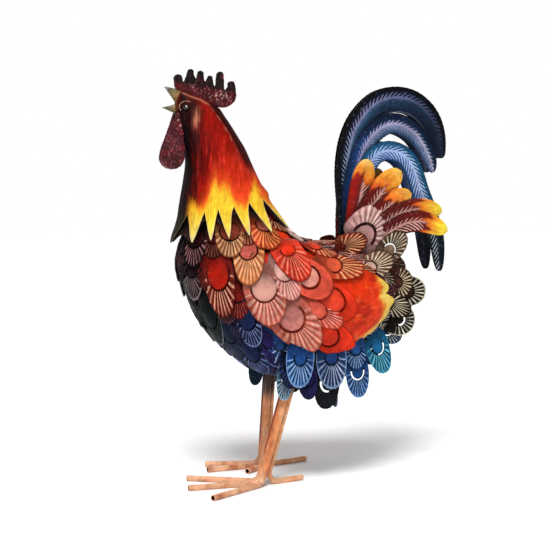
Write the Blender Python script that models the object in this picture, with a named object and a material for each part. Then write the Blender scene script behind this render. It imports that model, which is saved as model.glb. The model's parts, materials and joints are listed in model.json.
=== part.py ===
"""Standing sheet-metal rooster: a lofted body shell and a neck-and-hackle cape
carry separate cut sheet feathers, a plate comb, wattles and an open beak, on
two legs that are each a bundle of four bent tubes ending in toes.

Design frame: the bird faces -X, its left side is -Y, +Z is up, the ground is
z = 0 and y = 0 is the plane of symmetry of the body.  Metres throughout.
"""

import math

import bmesh
import bpy
import numpy as np
from mathutils import Vector
from mathutils.bvhtree import BVHTree

MM = 0.001

# ------------------------------------------------------------ driving sizes
ORIGIN_X = 36.5 * MM          # where the part's origin lies in the design frame
ORIGIN_Y = -6.7 * MM
GAP = 0.45 * MM               # clearance between pieces that are welded together
SHEET = 1.1 * MM              # thickness of the cut feathers
ROUND = 2.2                   # exponent of the body's and neck's oval sections

# Body sections, breast to rump: front (x, z), back (x, z), half width, in mm.
BODY = (
    (-105, 283, -22, 320, 36),
    (-112, 250, -6, 301, 46),
    (-104, 218, 9, 286, 57),
    (-87.5, 186, 24, 275, 65),
    (-63, 157, 39, 270, 69),
    (-34, 133, 54, 268, 70),
    (3, 122, 69, 267, 69),
    (42, 124, 84, 266, 66),
    (77, 134, 98, 262, 60),
    (107, 152, 112, 255, 51),
    (129, 174, 126, 243, 39),
    (141, 196, 136, 228, 24),
    (145, 212, 145, 212, 0),
)
# Neck sections, crown to hackle points: front (x, z), back (x, z), half width.
NECK = (
    (-111.7, 438.5, -106, 438.3, 3.5),
    (-114.6, 433, -92.5, 433.2, 10),
    (-116.3, 425.3, -78.7, 427.6, 15.5),
    (-117.0, 417.6, -67.3, 420.6, 19.5),
    (-115.4, 408.9, -60.5, 411.3, 22.5),
    (-111.8, 398, -53, 400.3, 25),
    (-107.5, 384.8, -45, 387.6, 28),
    (-104.6, 371.7, -37.5, 375.4, 31),
    (-104.2, 357.3, -31, 360.8, 34.5),
    (-106, 343, -24.5, 346.8, 38),
    (-108.4, 327.5, -19, 336.1, 42),
    (-110.8, 310.9, -12, 327, 47),
    (-113.7, 294.3, -8.5, 316.5, 52),
    (-123, 270, 15, 287, 60),
)
# Hackles round the cape's hem: where each pointed tongue and each notch lies on
# the left side, in degrees from the nape to the breast; the right side mirrors.
TIPS = (0, 31.5, 63.5, 86.5, 102.5, 119.5, 140, 180)
NOTCHES = (16, 46.5, 73, 91.5, 109.5, 128, 157)
HACKLE_SHOULDER = 0.62        # how far down a tongue its widest outline reaches
HACKLE_REACH = 1.4            # tongue length, in sections of the neck's table
NOTCH_AT = 11.5               # the section where the notches between tongues end
CAPE_WALL = 1.3 * MM
ROWS = 6                      # shingle rows pressed into the body shell
SCALES = 11                   # scales in each row
ROW_LIFT = 2.4 * MM

TUBE = 6.5 * MM               # leg tube, across flats
TUBE_WALL = 0.9 * MM
TUBE_GAP = 0.4 * MM
TUBE_SIDES = 8
BEND = 11 * MM                # centreline radius at the ankle
HIP_Z = 152 * MM

COMB_THICK = 5.2 * MM
# Comb fingers, front to back: root x, z, tip x, z and half width, in mm.
COMB = (
    (-105.5, 441, -112.0, 457.0, 3.6),
    (-97.0, 443, -98.2, 463.0, 4.0),
    (-88.0, 441, -87.0, 461.8, 4.0),
    (-78.5, 438, -76.7, 457.2, 3.4),
    (-68.0, 435, -65.8, 461.8, 4.4),
    (-58.0, 431, -53.6, 451.4, 4.6),
)

COLOUR = {
    "shell": ((0.10, 0.03, 0.025), 0.45, 0.6),
    "neck": ((0.55, 0.06, 0.03), 0.35, 0.4),
    "comb": ((0.17, 0.02, 0.025), 0.4, 0.3),
    "beak": ((0.45, 0.25, 0.10), 0.45, 0.3),
    "eye": ((0.01, 0.01, 0.01), 0.12, 0.0),
    "wing": ((0.70, 0.12, 0.03), 0.35, 0.4),
    "sickle": ((0.04, 0.08, 0.22), 0.35, 0.4),
    "covert": ((0.50, 0.12, 0.08), 0.35, 0.4),
    "rump": ((0.42, 0.22, 0.16), 0.4, 0.4),
    "under": ((0.05, 0.12, 0.26), 0.35, 0.4),
    "tube": ((0.62, 0.33, 0.16), 0.4, 0.6),
}


# --------------------------------------------------------------- utilities
def clear_scene():
    for ob in list(bpy.data.objects):
        bpy.data.objects.remove(ob, do_unlink=True)


def material(name):
    got = bpy.data.materials.get(name)
    if got:
        return got
    colour, rough, metal = COLOUR[name]
    mat = bpy.data.materials.new(name)
    mat.use_nodes = True
    node = mat.node_tree.nodes["Principled BSDF"]
    node.inputs["Base Color"].default_value = (*colour, 1)
    node.inputs["Roughness"].default_value = rough
    node.inputs["Metallic"].default_value = metal
    return mat


def make(name, verts, faces, mat, smooth=35.0):
    """One object at the design frame's place from a list of faces."""
    mesh = bpy.data.meshes.new(name)
    mesh.from_pydata([tuple(float(c) for c in v) for v in verts], [], faces)
    bm = bmesh.new()
    bm.from_mesh(mesh)
    bmesh.ops.recalc_face_normals(bm, faces=bm.faces)
    bm.to_mesh(mesh)
    bm.free()
    mesh.shade_smooth()
    mesh.set_sharp_from_angle(angle=math.radians(smooth))
    ob = bpy.data.objects.new(name, mesh)
    ob.location = (-ORIGIN_X, -ORIGIN_Y, 0)
    bpy.context.scene.collection.objects.link(ob)
    mesh.materials.append(material(mat))
    return ob


def cutter(name, verts, faces):
    ob = make(name, verts, faces, "shell")
    ob.hide_render = True
    ob.display_type = "WIRE"
    return ob


def cut(ob, tool):
    mod = ob.modifiers.new("cut_" + tool.name, "BOOLEAN")
    mod.operation = "DIFFERENCE"
    mod.solver = "EXACT"
    mod.object = tool


def spline(rows, s):
    """Catmull-Rom curve through the rows of a table, one unit of s per row."""
    table = np.asarray(rows, float)
    n = len(table)
    i = int(min(max(math.floor(s), 0), n - 2))
    t = s - i
    p0, p1 = table[max(i - 1, 0)], table[i]
    p2, p3 = table[i + 1], table[min(i + 2, n - 1)]
    return 0.5 * (2 * p1 + (p2 - p0) * t + (2 * p0 - 5 * p1 + 4 * p2 - p3) * t * t
                  + (3 * p1 - p0 - 3 * p2 + p3) * t ** 3)


def curve(points, count):
    """Points at even spacing along the smooth curve through a few points."""
    fine = [spline(points, k * (len(points) - 1) / 60) for k in range(61)]
    run = np.concatenate([[0], np.cumsum([np.linalg.norm(b - a) for a, b in zip(fine, fine[1:])])])
    out = []
    for k in range(count):
        want = run[-1] * k / (count - 1)
        i = int(min(max(np.searchsorted(run, want) - 1, 0), 59))
        f = (want - run[i]) / max(run[i + 1] - run[i], 1e-9)
        out.append(fine[i] * (1 - f) + fine[i + 1] * f)
    return out


def oval(table, s, th, lift=0.0):
    """Point on a lofted oval section: th = 0 is the back, pi the front, and
    0 < th < pi is the bird's left side."""
    fx, fz, bx, bz, w = spline(table, s) * MM
    c = np.array([(fx + bx) / 2, 0, (fz + bz) / 2])
    half = np.array([(bx - fx) / 2, 0, (bz - fz) / 2])
    ct, st = math.cos(th), math.sin(th)
    k = 2 / ROUND
    off = (half * math.copysign(abs(ct) ** k, ct)
           + np.array([0, -w, 0]) * math.copysign(abs(st) ** k, st))
    size = np.linalg.norm(off)
    return c + off * (1 + lift / max(size, 1e-6))


def stack(rings, first, last):
    """Closed skin over rings of equal count, with a fan at each end."""
    n = len(rings[0])
    verts = [p for ring in rings for p in ring] + [first, last]
    faces = []
    for r in range(len(rings) - 1):
        for c in range(n):
            d = (c + 1) % n
            faces.append((r * n + c, r * n + d, (r + 1) * n + d, (r + 1) * n + c))
    top, end = len(verts) - 2, len(verts) - 1
    base = (len(rings) - 1) * n
    for c in range(n):
        d = (c + 1) % n
        faces.append((top, d, c))
        faces.append((end, base + c, base + d))
    return verts, faces


# --------------------------------------------------------------- body shell
def scallop(th, row):
    """0 in the notch between two scales, 1 at a scale's tip."""
    turn = (th / (2 * math.pi) * SCALES + (0.5 if row % 2 else 0)) % 1.0
    return math.sqrt(max(0.0, 1 - (2 * turn - 1) ** 2))


def body_rings(extra):
    n = SCALES * 4
    rings = []
    span = 10.4 / ROWS
    cols = [2 * math.pi * c / n for c in range(n)]
    rings.append([oval(BODY, 0.0, th, extra) for th in cols])
    for row in range(ROWS):
        start, end = 0.35 + row * span, 0.35 + (row + 1) * span

        def edge(r, th, at):
            return at + (0.42 * (scallop(th, r) - 0.6) if r >= 0 else 0)
        rings.append([oval(BODY, edge(row - 1, th, start) + 0.03, th, extra) for th in cols])
        rings.append([oval(BODY, (edge(row - 1, th, start) + edge(row, th, end)) / 2, th,
                           extra + 0.6 * ROW_LIFT) for th in cols])
        rings.append([oval(BODY, edge(row, th, end) - 0.02, th, extra + ROW_LIFT) for th in cols])
    rings.append([oval(BODY, 11.45, th, extra) for th in cols])
    top = oval(BODY, 0, 0)
    front = oval(BODY, 0, math.pi)
    first = (top + front) / 2 + np.array([-0.006, 0, 0.010 + extra])
    last = oval(BODY, 12, 0) + np.array([extra, 0, 0])
    return stack(rings, first, last)


def hug_tree():
    verts, faces = body_rings(0.0)
    return BVHTree.FromPolygons([Vector(v) for v in verts], faces)


def hug(tree, x, z, lift, middle=(0.045, 0.205)):
    """Point on the left flank at (x, z), lifted; beyond the body's outline it
    takes the depth of the nearest place towards the middle of the flank."""
    for k in range(60):
        f = 1 - k * 0.015
        px = middle[0] + (x - middle[0]) * f
        pz = middle[1] + (z - middle[1]) * f
        hit = tree.ray_cast(Vector((px, -0.3, pz)), Vector((0, 1, 0)))
        if hit[0] is not None and abs(hit[1].y) > 0.35:
            return np.array([x, hit[0].y - lift, z])
    return np.array([x, -lift, z])


# ------------------------------------------------------------ neck and cape
def hem_columns():
    """Angles round the hem with the drop of the hem at each: a notch is 0, a
    hackle's point is HACKLE_REACH, and a shoulder stands between them."""
    half = []
    for k, tip in enumerate(TIPS):
        half.append((tip, HACKLE_REACH))
        if k < len(NOTCHES):
            notch = NOTCHES[k]
            half.append(((tip + notch) / 2, HACKLE_SHOULDER * HACKLE_REACH))
            half.append((notch, 0.0))
            half.append(((notch + TIPS[k + 1]) / 2, HACKLE_SHOULDER * HACKLE_REACH))
    full = half + [(360 - a, d) for a, d in half[-2:0:-1]]
    return [(math.radians(a), d) for a, d in full]


def neck_mesh(extra, hollow):
    cols = hem_columns()
    rows = (0.1, 0.9, 1.9, 3.1, 4.7, 6.6, 8.6, 10.3)
    rings = [[oval(NECK, s, th, extra) for th, _ in cols] for s in rows]
    hem = 11.0
    for f in (0.0, 0.5, 1.0):
        rings.append([oval(NECK, hem + f * (NOTCH_AT + drop - hem), th, extra) for th, drop in cols])
    if hollow:
        for f in (1.0, 0.5, 0.0):
            rings.append([oval(NECK, hem + f * (NOTCH_AT + drop - hem), th, -CAPE_WALL)
                          for th, drop in cols])
        rings.append([oval(NECK, 9.9, th, -CAPE_WALL - 0.002) for th, _ in cols])
        ring = rings[-1]
    else:
        ring = rings[-1]
    first = (oval(NECK, 0, 0) + oval(NECK, 0, math.pi)) / 2 + np.array([0, 0, 0.0008 + extra])
    last = sum(ring) / len(ring) + np.array([0, 0, 0.004 if hollow else 0])
    return stack(rings, first, last)


# ------------------------------------------------------------ sheet feathers
def blade(name, mid, wide_a, wide_b, face, mat, thick=SHEET, crown=0.0, tools=()):
    """A cut sheet along a curve: wide_a and wide_b give the half widths on its
    two sides at a place 0..1 along it, and face is its broad side's direction."""
    verts, n = [], len(mid)
    for side in (0.5, -0.5):
        for i, p in enumerate(mid):
            t = i / (n - 1)
            run = mid[min(i + 1, n - 1)] - mid[max(i - 1, 0)]
            run = run / np.linalg.norm(run)
            f = face(t) if callable(face) else face
            across = np.cross(f, run)
            across = across / np.linalg.norm(across)
            out = np.cross(run, across)
            lay = out * side * thick
            verts.append(p + across * wide_a(t) + lay)
            verts.append(p + out * crown + lay)
            verts.append(p - across * wide_b(t) + lay)
    faces = []
    m = n * 3
    for i in range(n - 1):
        for j in (0, 1):
            a = i * 3 + j
            faces.append((a, a + 1, a + 4, a + 3))
            faces.append((m + a, m + a + 3, m + a + 4, m + a + 1))
        for j in (0, 2):
            a = i * 3 + j
            faces.append((a, a + 3, m + a + 3, m + a))
    for i in (0, n - 1):
        for j in (0, 1):
            a = i * 3 + j
            faces.append((a, a + 1, m + a + 1, m + a))
    ob = make(name, verts, faces, mat)
    for tool in tools:
        cut(ob, tool)
    return ob


def mirror(points):
    return [p * np.array([1, -1, 1]) for p in points]


def leaf(wide, base=0.45, full=0.3, tip=0.1, sharp=0.75):
    """Half width along a feather: a stalk that widens, then a rounded end."""
    wide = wide * MM

    def at(t):
        if t < full:
            return wide * (base + (1 - base) * math.sin(t / full * math.pi / 2))
        u = (t - full) / (1 - full)
        return wide * (tip + (1 - tip) * (1 - u ** 2.4) ** sharp)
    return at


def paired(name, path, wide_a, wide_b, mat, count, crown=0.0, tools=(), face=(0, -1, 0)):
    left = np.array(face, float)
    right = left * np.array([1, -1, 1])
    mid = curve(path, count)
    blade("left_" + name, mid, wide_a, wide_b, left, mat, crown=crown, tools=tools)
    blade("right_" + name, mirror(mid), wide_b, wide_a, right, mat, crown=crown, tools=tools)


TAIL_ROOT = (90, 268)


def fanned(points, depth, spread, flare=0.0):
    """Tail feathers lie in layers that open away from the tail's root; flare
    turns the hanging end of a feather outward."""
    out = []
    for x, z in points:
        r = math.hypot(x - TAIL_ROOT[0], z - TAIL_ROOT[1])
        hang = min(max((330 - z) / 60, 0), 1) if x > 150 else 0
        out.append(np.array([x, -(depth + spread * r + flare * hang), z]) * MM)
    return out


# ---------------------------------------------------------------------- legs
def leg_path(top, ankle, tip):
    """Centreline of one tube: straight shank, a bend at the ankle, a toe."""
    top, ankle, tip = (np.array(p, float) * MM for p in (top, ankle, tip))
    down = (ankle - top) / np.linalg.norm(ankle - top)
    toe = (tip - ankle) / np.linalg.norm(tip - ankle)
    angle = math.acos(float(np.clip(down @ toe, -1, 1)))
    back = BEND * math.tan(angle / 2)
    start, end = ankle - down * back, ankle + toe * back
    path = [(top, 0.0), (start, 0.0)]
    steps = 4
    centre = ankle + (toe - down) / np.linalg.norm(toe - down) * BEND / math.cos(angle / 2)
    for k in range(1, steps):
        a = k / steps
        v = (start - centre) * math.sin((1 - a) * angle) + (end - centre) * math.sin(a * angle)
        path.append((centre + v / math.sin(angle), a))
    path += [(end, 1.0), (tip, 1.0)]
    return path, down, toe


def tube(name, top, ankle, tip):
    path, down, toe = leg_path(top, ankle, tip)
    up = np.array([0, 0, 1.0])
    radius = TUBE / 2 / math.cos(math.pi / TUBE_SIDES)
    points = [p for p, _ in path]
    rings = []

    def ring(i, r, back=0.0):
        p, w = path[i]
        run = points[min(i + 1, len(points) - 1)] - points[max(i - 1, 0)]
        if w == 1.0 and i >= len(points) - 2:
            run = toe
        if i <= 1:
            run = down
        run = run / np.linalg.norm(run)
        ref = toe * (1 - w) + up * w
        side = np.cross(run, ref)
        side = side / np.linalg.norm(side)
        over = np.cross(side, run)
        out = []
        for k in range(TUBE_SIDES):
            a = 2 * math.pi * (k + 0.5) / TUBE_SIDES
            out.append(p - run * back + (side * math.cos(a) + over * math.sin(a)) * r)
        return out

    for i in range(len(path)):
        rings.append(ring(i, radius))
    inner = (TUBE / 2 - TUBE_WALL) / math.cos(math.pi / TUBE_SIDES)
    rings.append(ring(len(path) - 1, inner))
    rings.append(ring(len(path) - 1, inner, 9 * MM))
    verts, faces = stack(rings, points[0], points[-1] - toe * 9 * MM)
    return make(name, verts, faces, "tube", 30)


# Toe tips (x, y) in mm for each foot, and where each bundle meets the ground.
FEET = {
    "left": dict(ankle=(-31, -39), lean=(43, 0), toes=dict(
        inner=(-103, 8), middle=(-113, -38), outer=(-99, -89), hind=(23, -28))),
    "right": dict(ankle=(-1, 49), lean=(9, 0), toes=dict(
        inner=(-28, 20), middle=(-70, 41), outer=(-65, 71), hind=(59, 64))),
}


def legs():
    """Two legs, each of three tubes side by side with a fourth behind."""
    tools = []
    pitch = (TUBE + TUBE_GAP) / MM
    for side, foot in FEET.items():
        sign = -1 if side == "left" else 1
        ax, ay = foot["ankle"]
        lx, ly = foot["lean"]
        places = dict(inner=(0, -sign * pitch), middle=(0, 0), outer=(0, sign * pitch),
                      hind=(pitch, 0))
        rest = TUBE / 2 / MM
        behind = pitch * math.hypot(1, lx / (HIP_Z / MM - rest))
        places["hind"] = (behind, 0)
        for toe, (dx, dy) in places.items():
            tx, ty = foot["toes"][toe]
            tube("{}_leg_{}_toe".format(side, toe),
                 (ax + lx + dx, ay + ly + dy, HIP_Z / MM),
                 (ax + dx, ay + dy, rest), (tx, ty, rest))
        # The socket that the bundle is welded into, cut square to the shank.
        foot_at = np.array([ax, ay, rest]) * MM
        hip_at = np.array([ax + lx, ay + ly, HIP_Z / MM]) * MM
        run = (hip_at - foot_at) / np.linalg.norm(hip_at - foot_at)
        fore = np.cross(np.array([0, 1.0, 0]), run)
        fore = fore / np.linalg.norm(fore)
        wide = np.cross(run, fore)
        half_w = (1.5 * pitch + 0.6) * MM
        lo, hi = -(0.5 * pitch + 0.6) * MM, (1.5 * pitch + 0.9) * MM
        verts = []
        for t in (0.60, 1.035):
            at = foot_at + (hip_at - foot_at) * t
            for f, w in ((lo, -half_w), (hi, -half_w), (hi, half_w), (lo, half_w)):
                verts.append(at + fore * f + wide * w)
        faces = [(0, 1, 2, 3), (4, 5, 6, 7), (0, 1, 5, 4), (1, 2, 6, 5), (2, 3, 7, 6), (3, 0, 4, 7)]
        tools.append(cutter(side + "_leg_socket", verts, faces))
    return tools


# --------------------------------------------------------------------- head
def comb_outline():
    """Rounded fingers over a base that follows the crown."""
    pts = []
    for i, (rx, rz, tx, tz, w) in enumerate(COMB):
        root, tip = np.array([rx, rz]), np.array([tx, tz])
        up = (tip - root) / np.linalg.norm(tip - root)
        over = np.array([up[1], -up[0]])
        centre = tip - up * w
        waist = root + up * 5.5
        pts.append(waist - over * w * 0.82)
        for k in range(5):
            a = math.pi * (1 - k / 4)
            pts.append(centre + over * w * math.cos(a) + up * w * math.sin(a))
        pts.append(waist + over * w * 0.82)
    pts += [np.array(p, float) for p in ((-48.6, 443), (-48.2, 436), (-54, 428.5))]
    for k in range(5):
        x = -62 - k * 11.0
        pts.append(np.array([x, 417.5 + (x + 62) * -0.30]))
    return pts


def plate(name, outline, y0, thick, mat, bevel=1.2 * MM, tools=(), lean=0.0):
    """A plate standing in the XZ plane with its rim eased on both faces."""
    pts = [np.array(p, float) * MM for p in outline]
    n = len(pts)
    centre = sum(pts) / n
    verts = []
    for y, inset in ((-thick / 2, bevel), (-thick / 2 + bevel, 0), (thick / 2 - bevel, 0),
                     (thick / 2, bevel)):
        for i, p in enumerate(pts):
            a, b = pts[i - 1], pts[(i + 1) % n]
            run = (b - a) / max(np.linalg.norm(b - a), 1e-9)
            inward = np.array([-run[1], run[0]])
            area = sum(pts[k][0] * pts[(k + 1) % n][1] - pts[(k + 1) % n][0] * pts[k][1]
                       for k in range(n))
            if area < 0:
                inward = -inward
            q = p + inward * inset
            verts.append((q[0], y0 + y + lean * (centre[1] - q[1]), q[1]))
    faces = []
    for r in range(3):
        for c in range(n):
            d = (c + 1) % n
            faces.append((r * n + c, r * n + d, (r + 1) * n + d, (r + 1) * n + c))
    faces.append(tuple(range(n)))
    faces.append(tuple(range(3 * n, 4 * n)))
    ob = make(name, verts, faces, mat, 40)
    for tool in tools:
        cut(ob, tool)
    return ob


def wattle_outline():
    """A hanging lobe, narrow at the throat and full at the bottom."""
    rows = ((-114, 409, 3.0), (-116.0, 398, 6.5), (-117.5, 386, 9.5), (-119.5, 374, 12.5),
            (-120.5, 364, 13.0), (-120.5, 356, 9.5))
    left = [(x - w, z) for x, z, w in rows]
    right = [(x + w, z) for x, z, w in rows]
    return left + [(-120.5, 352.5)] + right[::-1]


def horn(name, base, tip, high, wide, droop, tools):
    """One half of the beak: an oval base drawn out to a hooked point."""
    base, tip = np.array(base, float) * MM, np.array(tip, float) * MM
    run = tip - base
    length = np.linalg.norm(run)
    run = run / length
    up = np.cross(run, np.array([0, 1.0, 0]))
    up = up / np.linalg.norm(up) * math.copysign(1, np.cross(run, np.array([0, 1.0, 0]))[2])
    rings = []
    for t in (0.0, 0.4, 0.75, 0.95):
        c = base + run * length * t + up * droop * MM * t * t
        s = (1 - t) ** 0.8 + 0.06
        rings.append([c + up * high * MM * s * math.sin(a) + np.array([0, 1.0, 0]) * wide * MM * s * math.cos(a)
                      for a in (2 * math.pi * k / 10 for k in range(10))])
    verts, faces = stack(rings, base - run * 0.0005, base + run * length + up * droop * MM)
    ob = make(name, verts, faces, "beak", 40)
    for tool in tools:
        cut(ob, tool)
    return ob


def bead(name, centre, radius, tools):
    rings = []
    c = np.array(centre, float) * MM
    for k in range(1, 6):
        a = math.pi * k / 6
        rings.append([c + radius * MM * np.array([math.sin(a) * math.cos(b), math.cos(a),
                                                  math.sin(a) * math.sin(b)])
                      for b in (2 * math.pi * j / 10 for j in range(10))])
    verts, faces = stack(rings, c + np.array([0, radius * MM, 0]), c - np.array([0, radius * MM, 0]))
    ob = make(name, verts, faces, "eye", 60)
    for tool in tools:
        cut(ob, tool)


# --------------------------------------------------------------------- wings
WING_TOP = ((-60, 240), (-34, 262), (0, 268), (34, 262), (66, 250), (92, 240), (108, 231))
WING_LOW = ((-60, 226), (-40, 188), (-8, 170), (28, 158), (62, 157), (93, 169), (120, 194))
HEM_LOBES = (-1, 6.5, 2.5, 8.5, 4.5, 0)    # how far the rear hem reaches back, in mm


def wing(side, tree, tools):
    """A panel bent over the flank, with a scalloped rear hem."""
    cols, rows, lift = 12, 6, 5.5 * MM
    sheets = []
    for thick in (0.0, 1.3 * MM):
        grid = []
        for i in range(cols):
            u = i / (cols - 1)
            top = spline(WING_TOP, u * (len(WING_TOP) - 1)) * MM
            low = spline(WING_LOW, u * (len(WING_LOW) - 1)) * MM
            for j in range(rows):
                v = j / (rows - 1)
                p = top * (1 - v) + low * v
                if i == cols - 1:
                    p = p + np.array([HEM_LOBES[j] * MM, -0.001])
                grid.append(hug(tree, p[0], p[1], lift + thick))
        sheets.append(grid)
    verts = sheets[0] + sheets[1]
    if side == "right":
        verts = mirror(verts)
    m = cols * rows
    faces = []
    for i in range(cols - 1):
        for j in range(rows - 1):
            a = i * rows + j
            faces.append((a, a + 1, a + rows + 1, a + rows))
            faces.append((m + a, m + a + rows, m + a + rows + 1, m + a + 1))
    rim = ([i * rows for i in range(cols)] + [(cols - 1) * rows + j for j in range(1, rows)]
           + [i * rows + rows - 1 for i in range(cols - 2, -1, -1)] + [j for j in range(rows - 2, 0, -1)])
    for a, b in zip(rim, rim[1:] + rim[:1]):
        faces.append((a, b, m + b, m + a))
    ob = make(side + "_wing", verts, faces, "wing")
    for tool in tools:
        cut(ob, tool)


# -------------------------------------------------------------------- build
def build():
    clear_scene()
    sockets = legs()

    verts, faces = body_rings(0.0)
    shell = make("body_shell", verts, faces, "shell", 30)
    for tool in sockets:
        cut(shell, tool)
    verts, faces = body_rings(GAP)
    body_tool = cutter("body_clearance", verts, faces)

    verts, faces = neck_mesh(0.0, True)
    make("neck_and_hackle_cape", verts, faces, "neck", 40)
    verts, faces = neck_mesh(GAP, False)
    neck_tool = cutter("neck_clearance", verts, faces)

    plate("comb", comb_outline(), 0.0, COMB_THICK, "comb", tools=(neck_tool,))
    outline = wattle_outline()
    plate("left_wattle", outline, -6.0 * MM, 4.6 * MM, "comb", tools=(neck_tool,), lean=0.08)
    plate("right_wattle", outline, 6.0 * MM, 4.6 * MM, "comb", tools=(neck_tool,), lean=-0.08)
    horn("upper_beak", (-109.0, 0, 430.2), (-127.3, 0, 444.2), 8.6, 5.8, -1.2, (neck_tool,))
    horn("lower_beak", (-108.0, 0, 418.8), (-131, 0, 419.4), 8.0, 5.2, 0.8, (neck_tool,))
    for side, sign in (("left", -1), ("right", 1)):
        bead(side + "_eye", (-107.5, sign * 15.5, 420.0), 3.4, (neck_tool,))

    tree = hug_tree()
    wing("left", tree, ())
    wing("right", tree, ())

    tail = (body_tool,)
    # Sickles: long arched feathers, three a side, nested one inside another.
    paired("sickle_1", fanned(((85, 258), (86, 300), (84.5, 348), (87.5, 376), (94.5, 398),
                               (106, 416), (123, 430.5), (145, 436), (167, 432), (186, 418),
                               (198, 397), (205, 366)), 3.0, 0.012),
           leaf(12, 0.5, 0.3, 0.12, 0.6), leaf(16.5, 0.5, 0.3, 0.12, 0.6), "sickle", 12, 0.0, tail)
    paired("sickle_2", fanned(((89, 258), (89, 300), (92, 336), (99, 364), (108, 383.5),
                               (119, 396), (134, 404.5), (150, 404), (168, 394), (180, 378),
                               (188, 362), (191, 349)), 6.4, 0.022),
           leaf(11.5, 0.5, 0.3, 0.12, 0.6), leaf(11.5, 0.5, 0.3, 0.12, 0.6), "sickle", 12, 0.0, tail)
    paired("sickle_3", fanned(((94, 258), (96, 300), (101, 337), (109, 359), (119, 370.5),
                               (134, 374.4), (148, 371), (159, 362), (167, 347), (174, 328),
                               (183, 304), (191.5, 275), (195.8, 234)), 9.8, 0.032, 7.0),
           leaf(9.5, 0.5, 0.3, 0.12, 0.6), leaf(11, 0.5, 0.3, 0.12, 0.6), "sickle", 12, 0.0, tail)
    # Tail coverts: five a side, broad rounded tips.
    coverts = (
        (((89, 250), (90, 282), (93, 303), (96, 324), (100, 346), (104, 364)), 12.5),
        (((86, 250), (93, 284), (106, 306), (117, 323), (128, 338), (142, 351)), 13.5),
        (((92, 250), (102, 281), (115, 299), (126, 310), (138, 319), (153.5, 325)), 12.0),
        (((96, 248), (112, 280), (129, 297), (147, 305), (167, 308), (188.5, 304.5)), 12.0),
        (((98, 245), (113, 270), (128, 283), (147, 292), (168, 292), (193, 281.5)), 12.0),
    )
    for k, (path, wide) in enumerate(coverts):
        paired("covert_{}".format(k + 1), fanned(path, 15.0 + 3.5 * k, 0.09 + 0.018 * k),
               leaf(wide, 0.4, 0.6, 0.15, 0.6), leaf(wide, 0.4, 0.6, 0.15, 0.6),
               "covert", 7, 0.0, tail)

    # Rump feathers: wide rounded scales behind the wing, four a side.
    rump = (
        ("rump_feather_1", ((78, -30, 252), (88, -38, 272), (104, -42, 290), (125, -45, 310)), 19),
        ("rump_feather_2", ((112, -30, 236), (122, -40, 248), (136, -44, 262), (153, -48, 278)), 15),
        ("rump_feather_3", ((112, -24, 226), (128, -28, 226), (146, -31, 221), (166, -34, 213)), 14),
        ("rump_feather_4", ((112, -32, 204), (128, -37, 199), (142, -40, 190), (158, -43, 176)), 14),
    )
    for name, path, wide in rump:
        paired(name, [np.array(p, float) * MM for p in path],
               leaf(wide, 0.5, 0.55, 0.25, 0.5), leaf(wide, 0.5, 0.55, 0.25, 0.5),
               "rump", 6, 0.0, tail)

    # Hanging scales along the lower flank, each lifted at its free end.
    under = (
        ("lower_feather_1", (-32, 168), (-30, 119), 15, 1.0),
        ("lower_feather_2", (8, 160), (11, 110), 16, 3.6),
        ("lower_feather_3", (49, 154), (51, 105), 16, 1.0),
        ("lower_feather_4", (80, 156), (85, 97), 15, 3.6),
        ("lower_feather_5", (108, 172), (120, 120), 14, 1.0),
    )
    for name, top, tip, wide, lift in under:
        path = []
        for k in range(4):
            f = k / 3
            x, z = top[0] * (1 - f) + tip[0] * f, top[1] * (1 - f) + tip[1] * f
            at = hug(tree, top[0] * MM, top[1] * MM, 0.0)
            path.append(np.array([x * MM, at[1] - (1.2 + lift) * MM * (0.2 + f), z * MM]))
        paired(name, path, leaf(wide, 0.7, 0.4, 0.3, 0.5), leaf(wide, 0.7, 0.4, 0.3, 0.5),
               "under", 6, 0.0, tail)
    # One long scale hangs under the vent on the centreline.
    blade("vent_feather", curve([np.array(p, float) * MM for p in
                                 ((76, 0, 150), (70, 0, 122), (65, 0, 98), (61, 0, 76))], 6),
          leaf(15, 0.7, 0.4, 0.3, 0.5), leaf(15, 0.7, 0.4, 0.3, 0.5), np.array([-1.0, 0, 0.2]),
          "under", tools=tail)


build()
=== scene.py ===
"""Looks of the standing sheet-metal rooster: welded ribbed scales over a dark
shell, a brushed red and yellow hackle cape, barbed tail feathers, a hammered
comb and wattles, and copper tube legs.

Shapes are worked out in the design frame (metres, the bird faces -X, its left
side is -Y) and moved to the part's own origin when a piece is made.
"""
import json
import math

import bmesh
import bpy
import numpy as np
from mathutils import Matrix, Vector, noise
from mathutils.bvhtree import BVHTree

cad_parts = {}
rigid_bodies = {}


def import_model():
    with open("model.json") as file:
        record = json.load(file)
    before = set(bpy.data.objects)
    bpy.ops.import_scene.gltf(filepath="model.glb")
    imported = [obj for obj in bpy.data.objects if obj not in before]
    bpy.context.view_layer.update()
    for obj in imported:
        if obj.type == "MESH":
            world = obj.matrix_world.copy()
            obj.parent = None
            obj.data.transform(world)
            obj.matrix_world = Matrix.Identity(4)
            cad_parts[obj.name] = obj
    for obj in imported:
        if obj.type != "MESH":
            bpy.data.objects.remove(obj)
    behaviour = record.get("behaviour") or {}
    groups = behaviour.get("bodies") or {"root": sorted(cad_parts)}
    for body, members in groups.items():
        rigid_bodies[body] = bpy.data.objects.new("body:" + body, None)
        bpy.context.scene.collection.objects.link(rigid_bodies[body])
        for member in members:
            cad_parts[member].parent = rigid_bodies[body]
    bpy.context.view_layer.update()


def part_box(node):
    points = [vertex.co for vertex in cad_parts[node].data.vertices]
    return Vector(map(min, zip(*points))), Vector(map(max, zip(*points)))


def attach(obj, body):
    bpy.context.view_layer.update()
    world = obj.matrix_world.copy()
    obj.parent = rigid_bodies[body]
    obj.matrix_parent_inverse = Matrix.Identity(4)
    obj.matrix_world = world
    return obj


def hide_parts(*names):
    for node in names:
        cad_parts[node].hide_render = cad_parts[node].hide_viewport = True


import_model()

MM = 0.001
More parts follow.
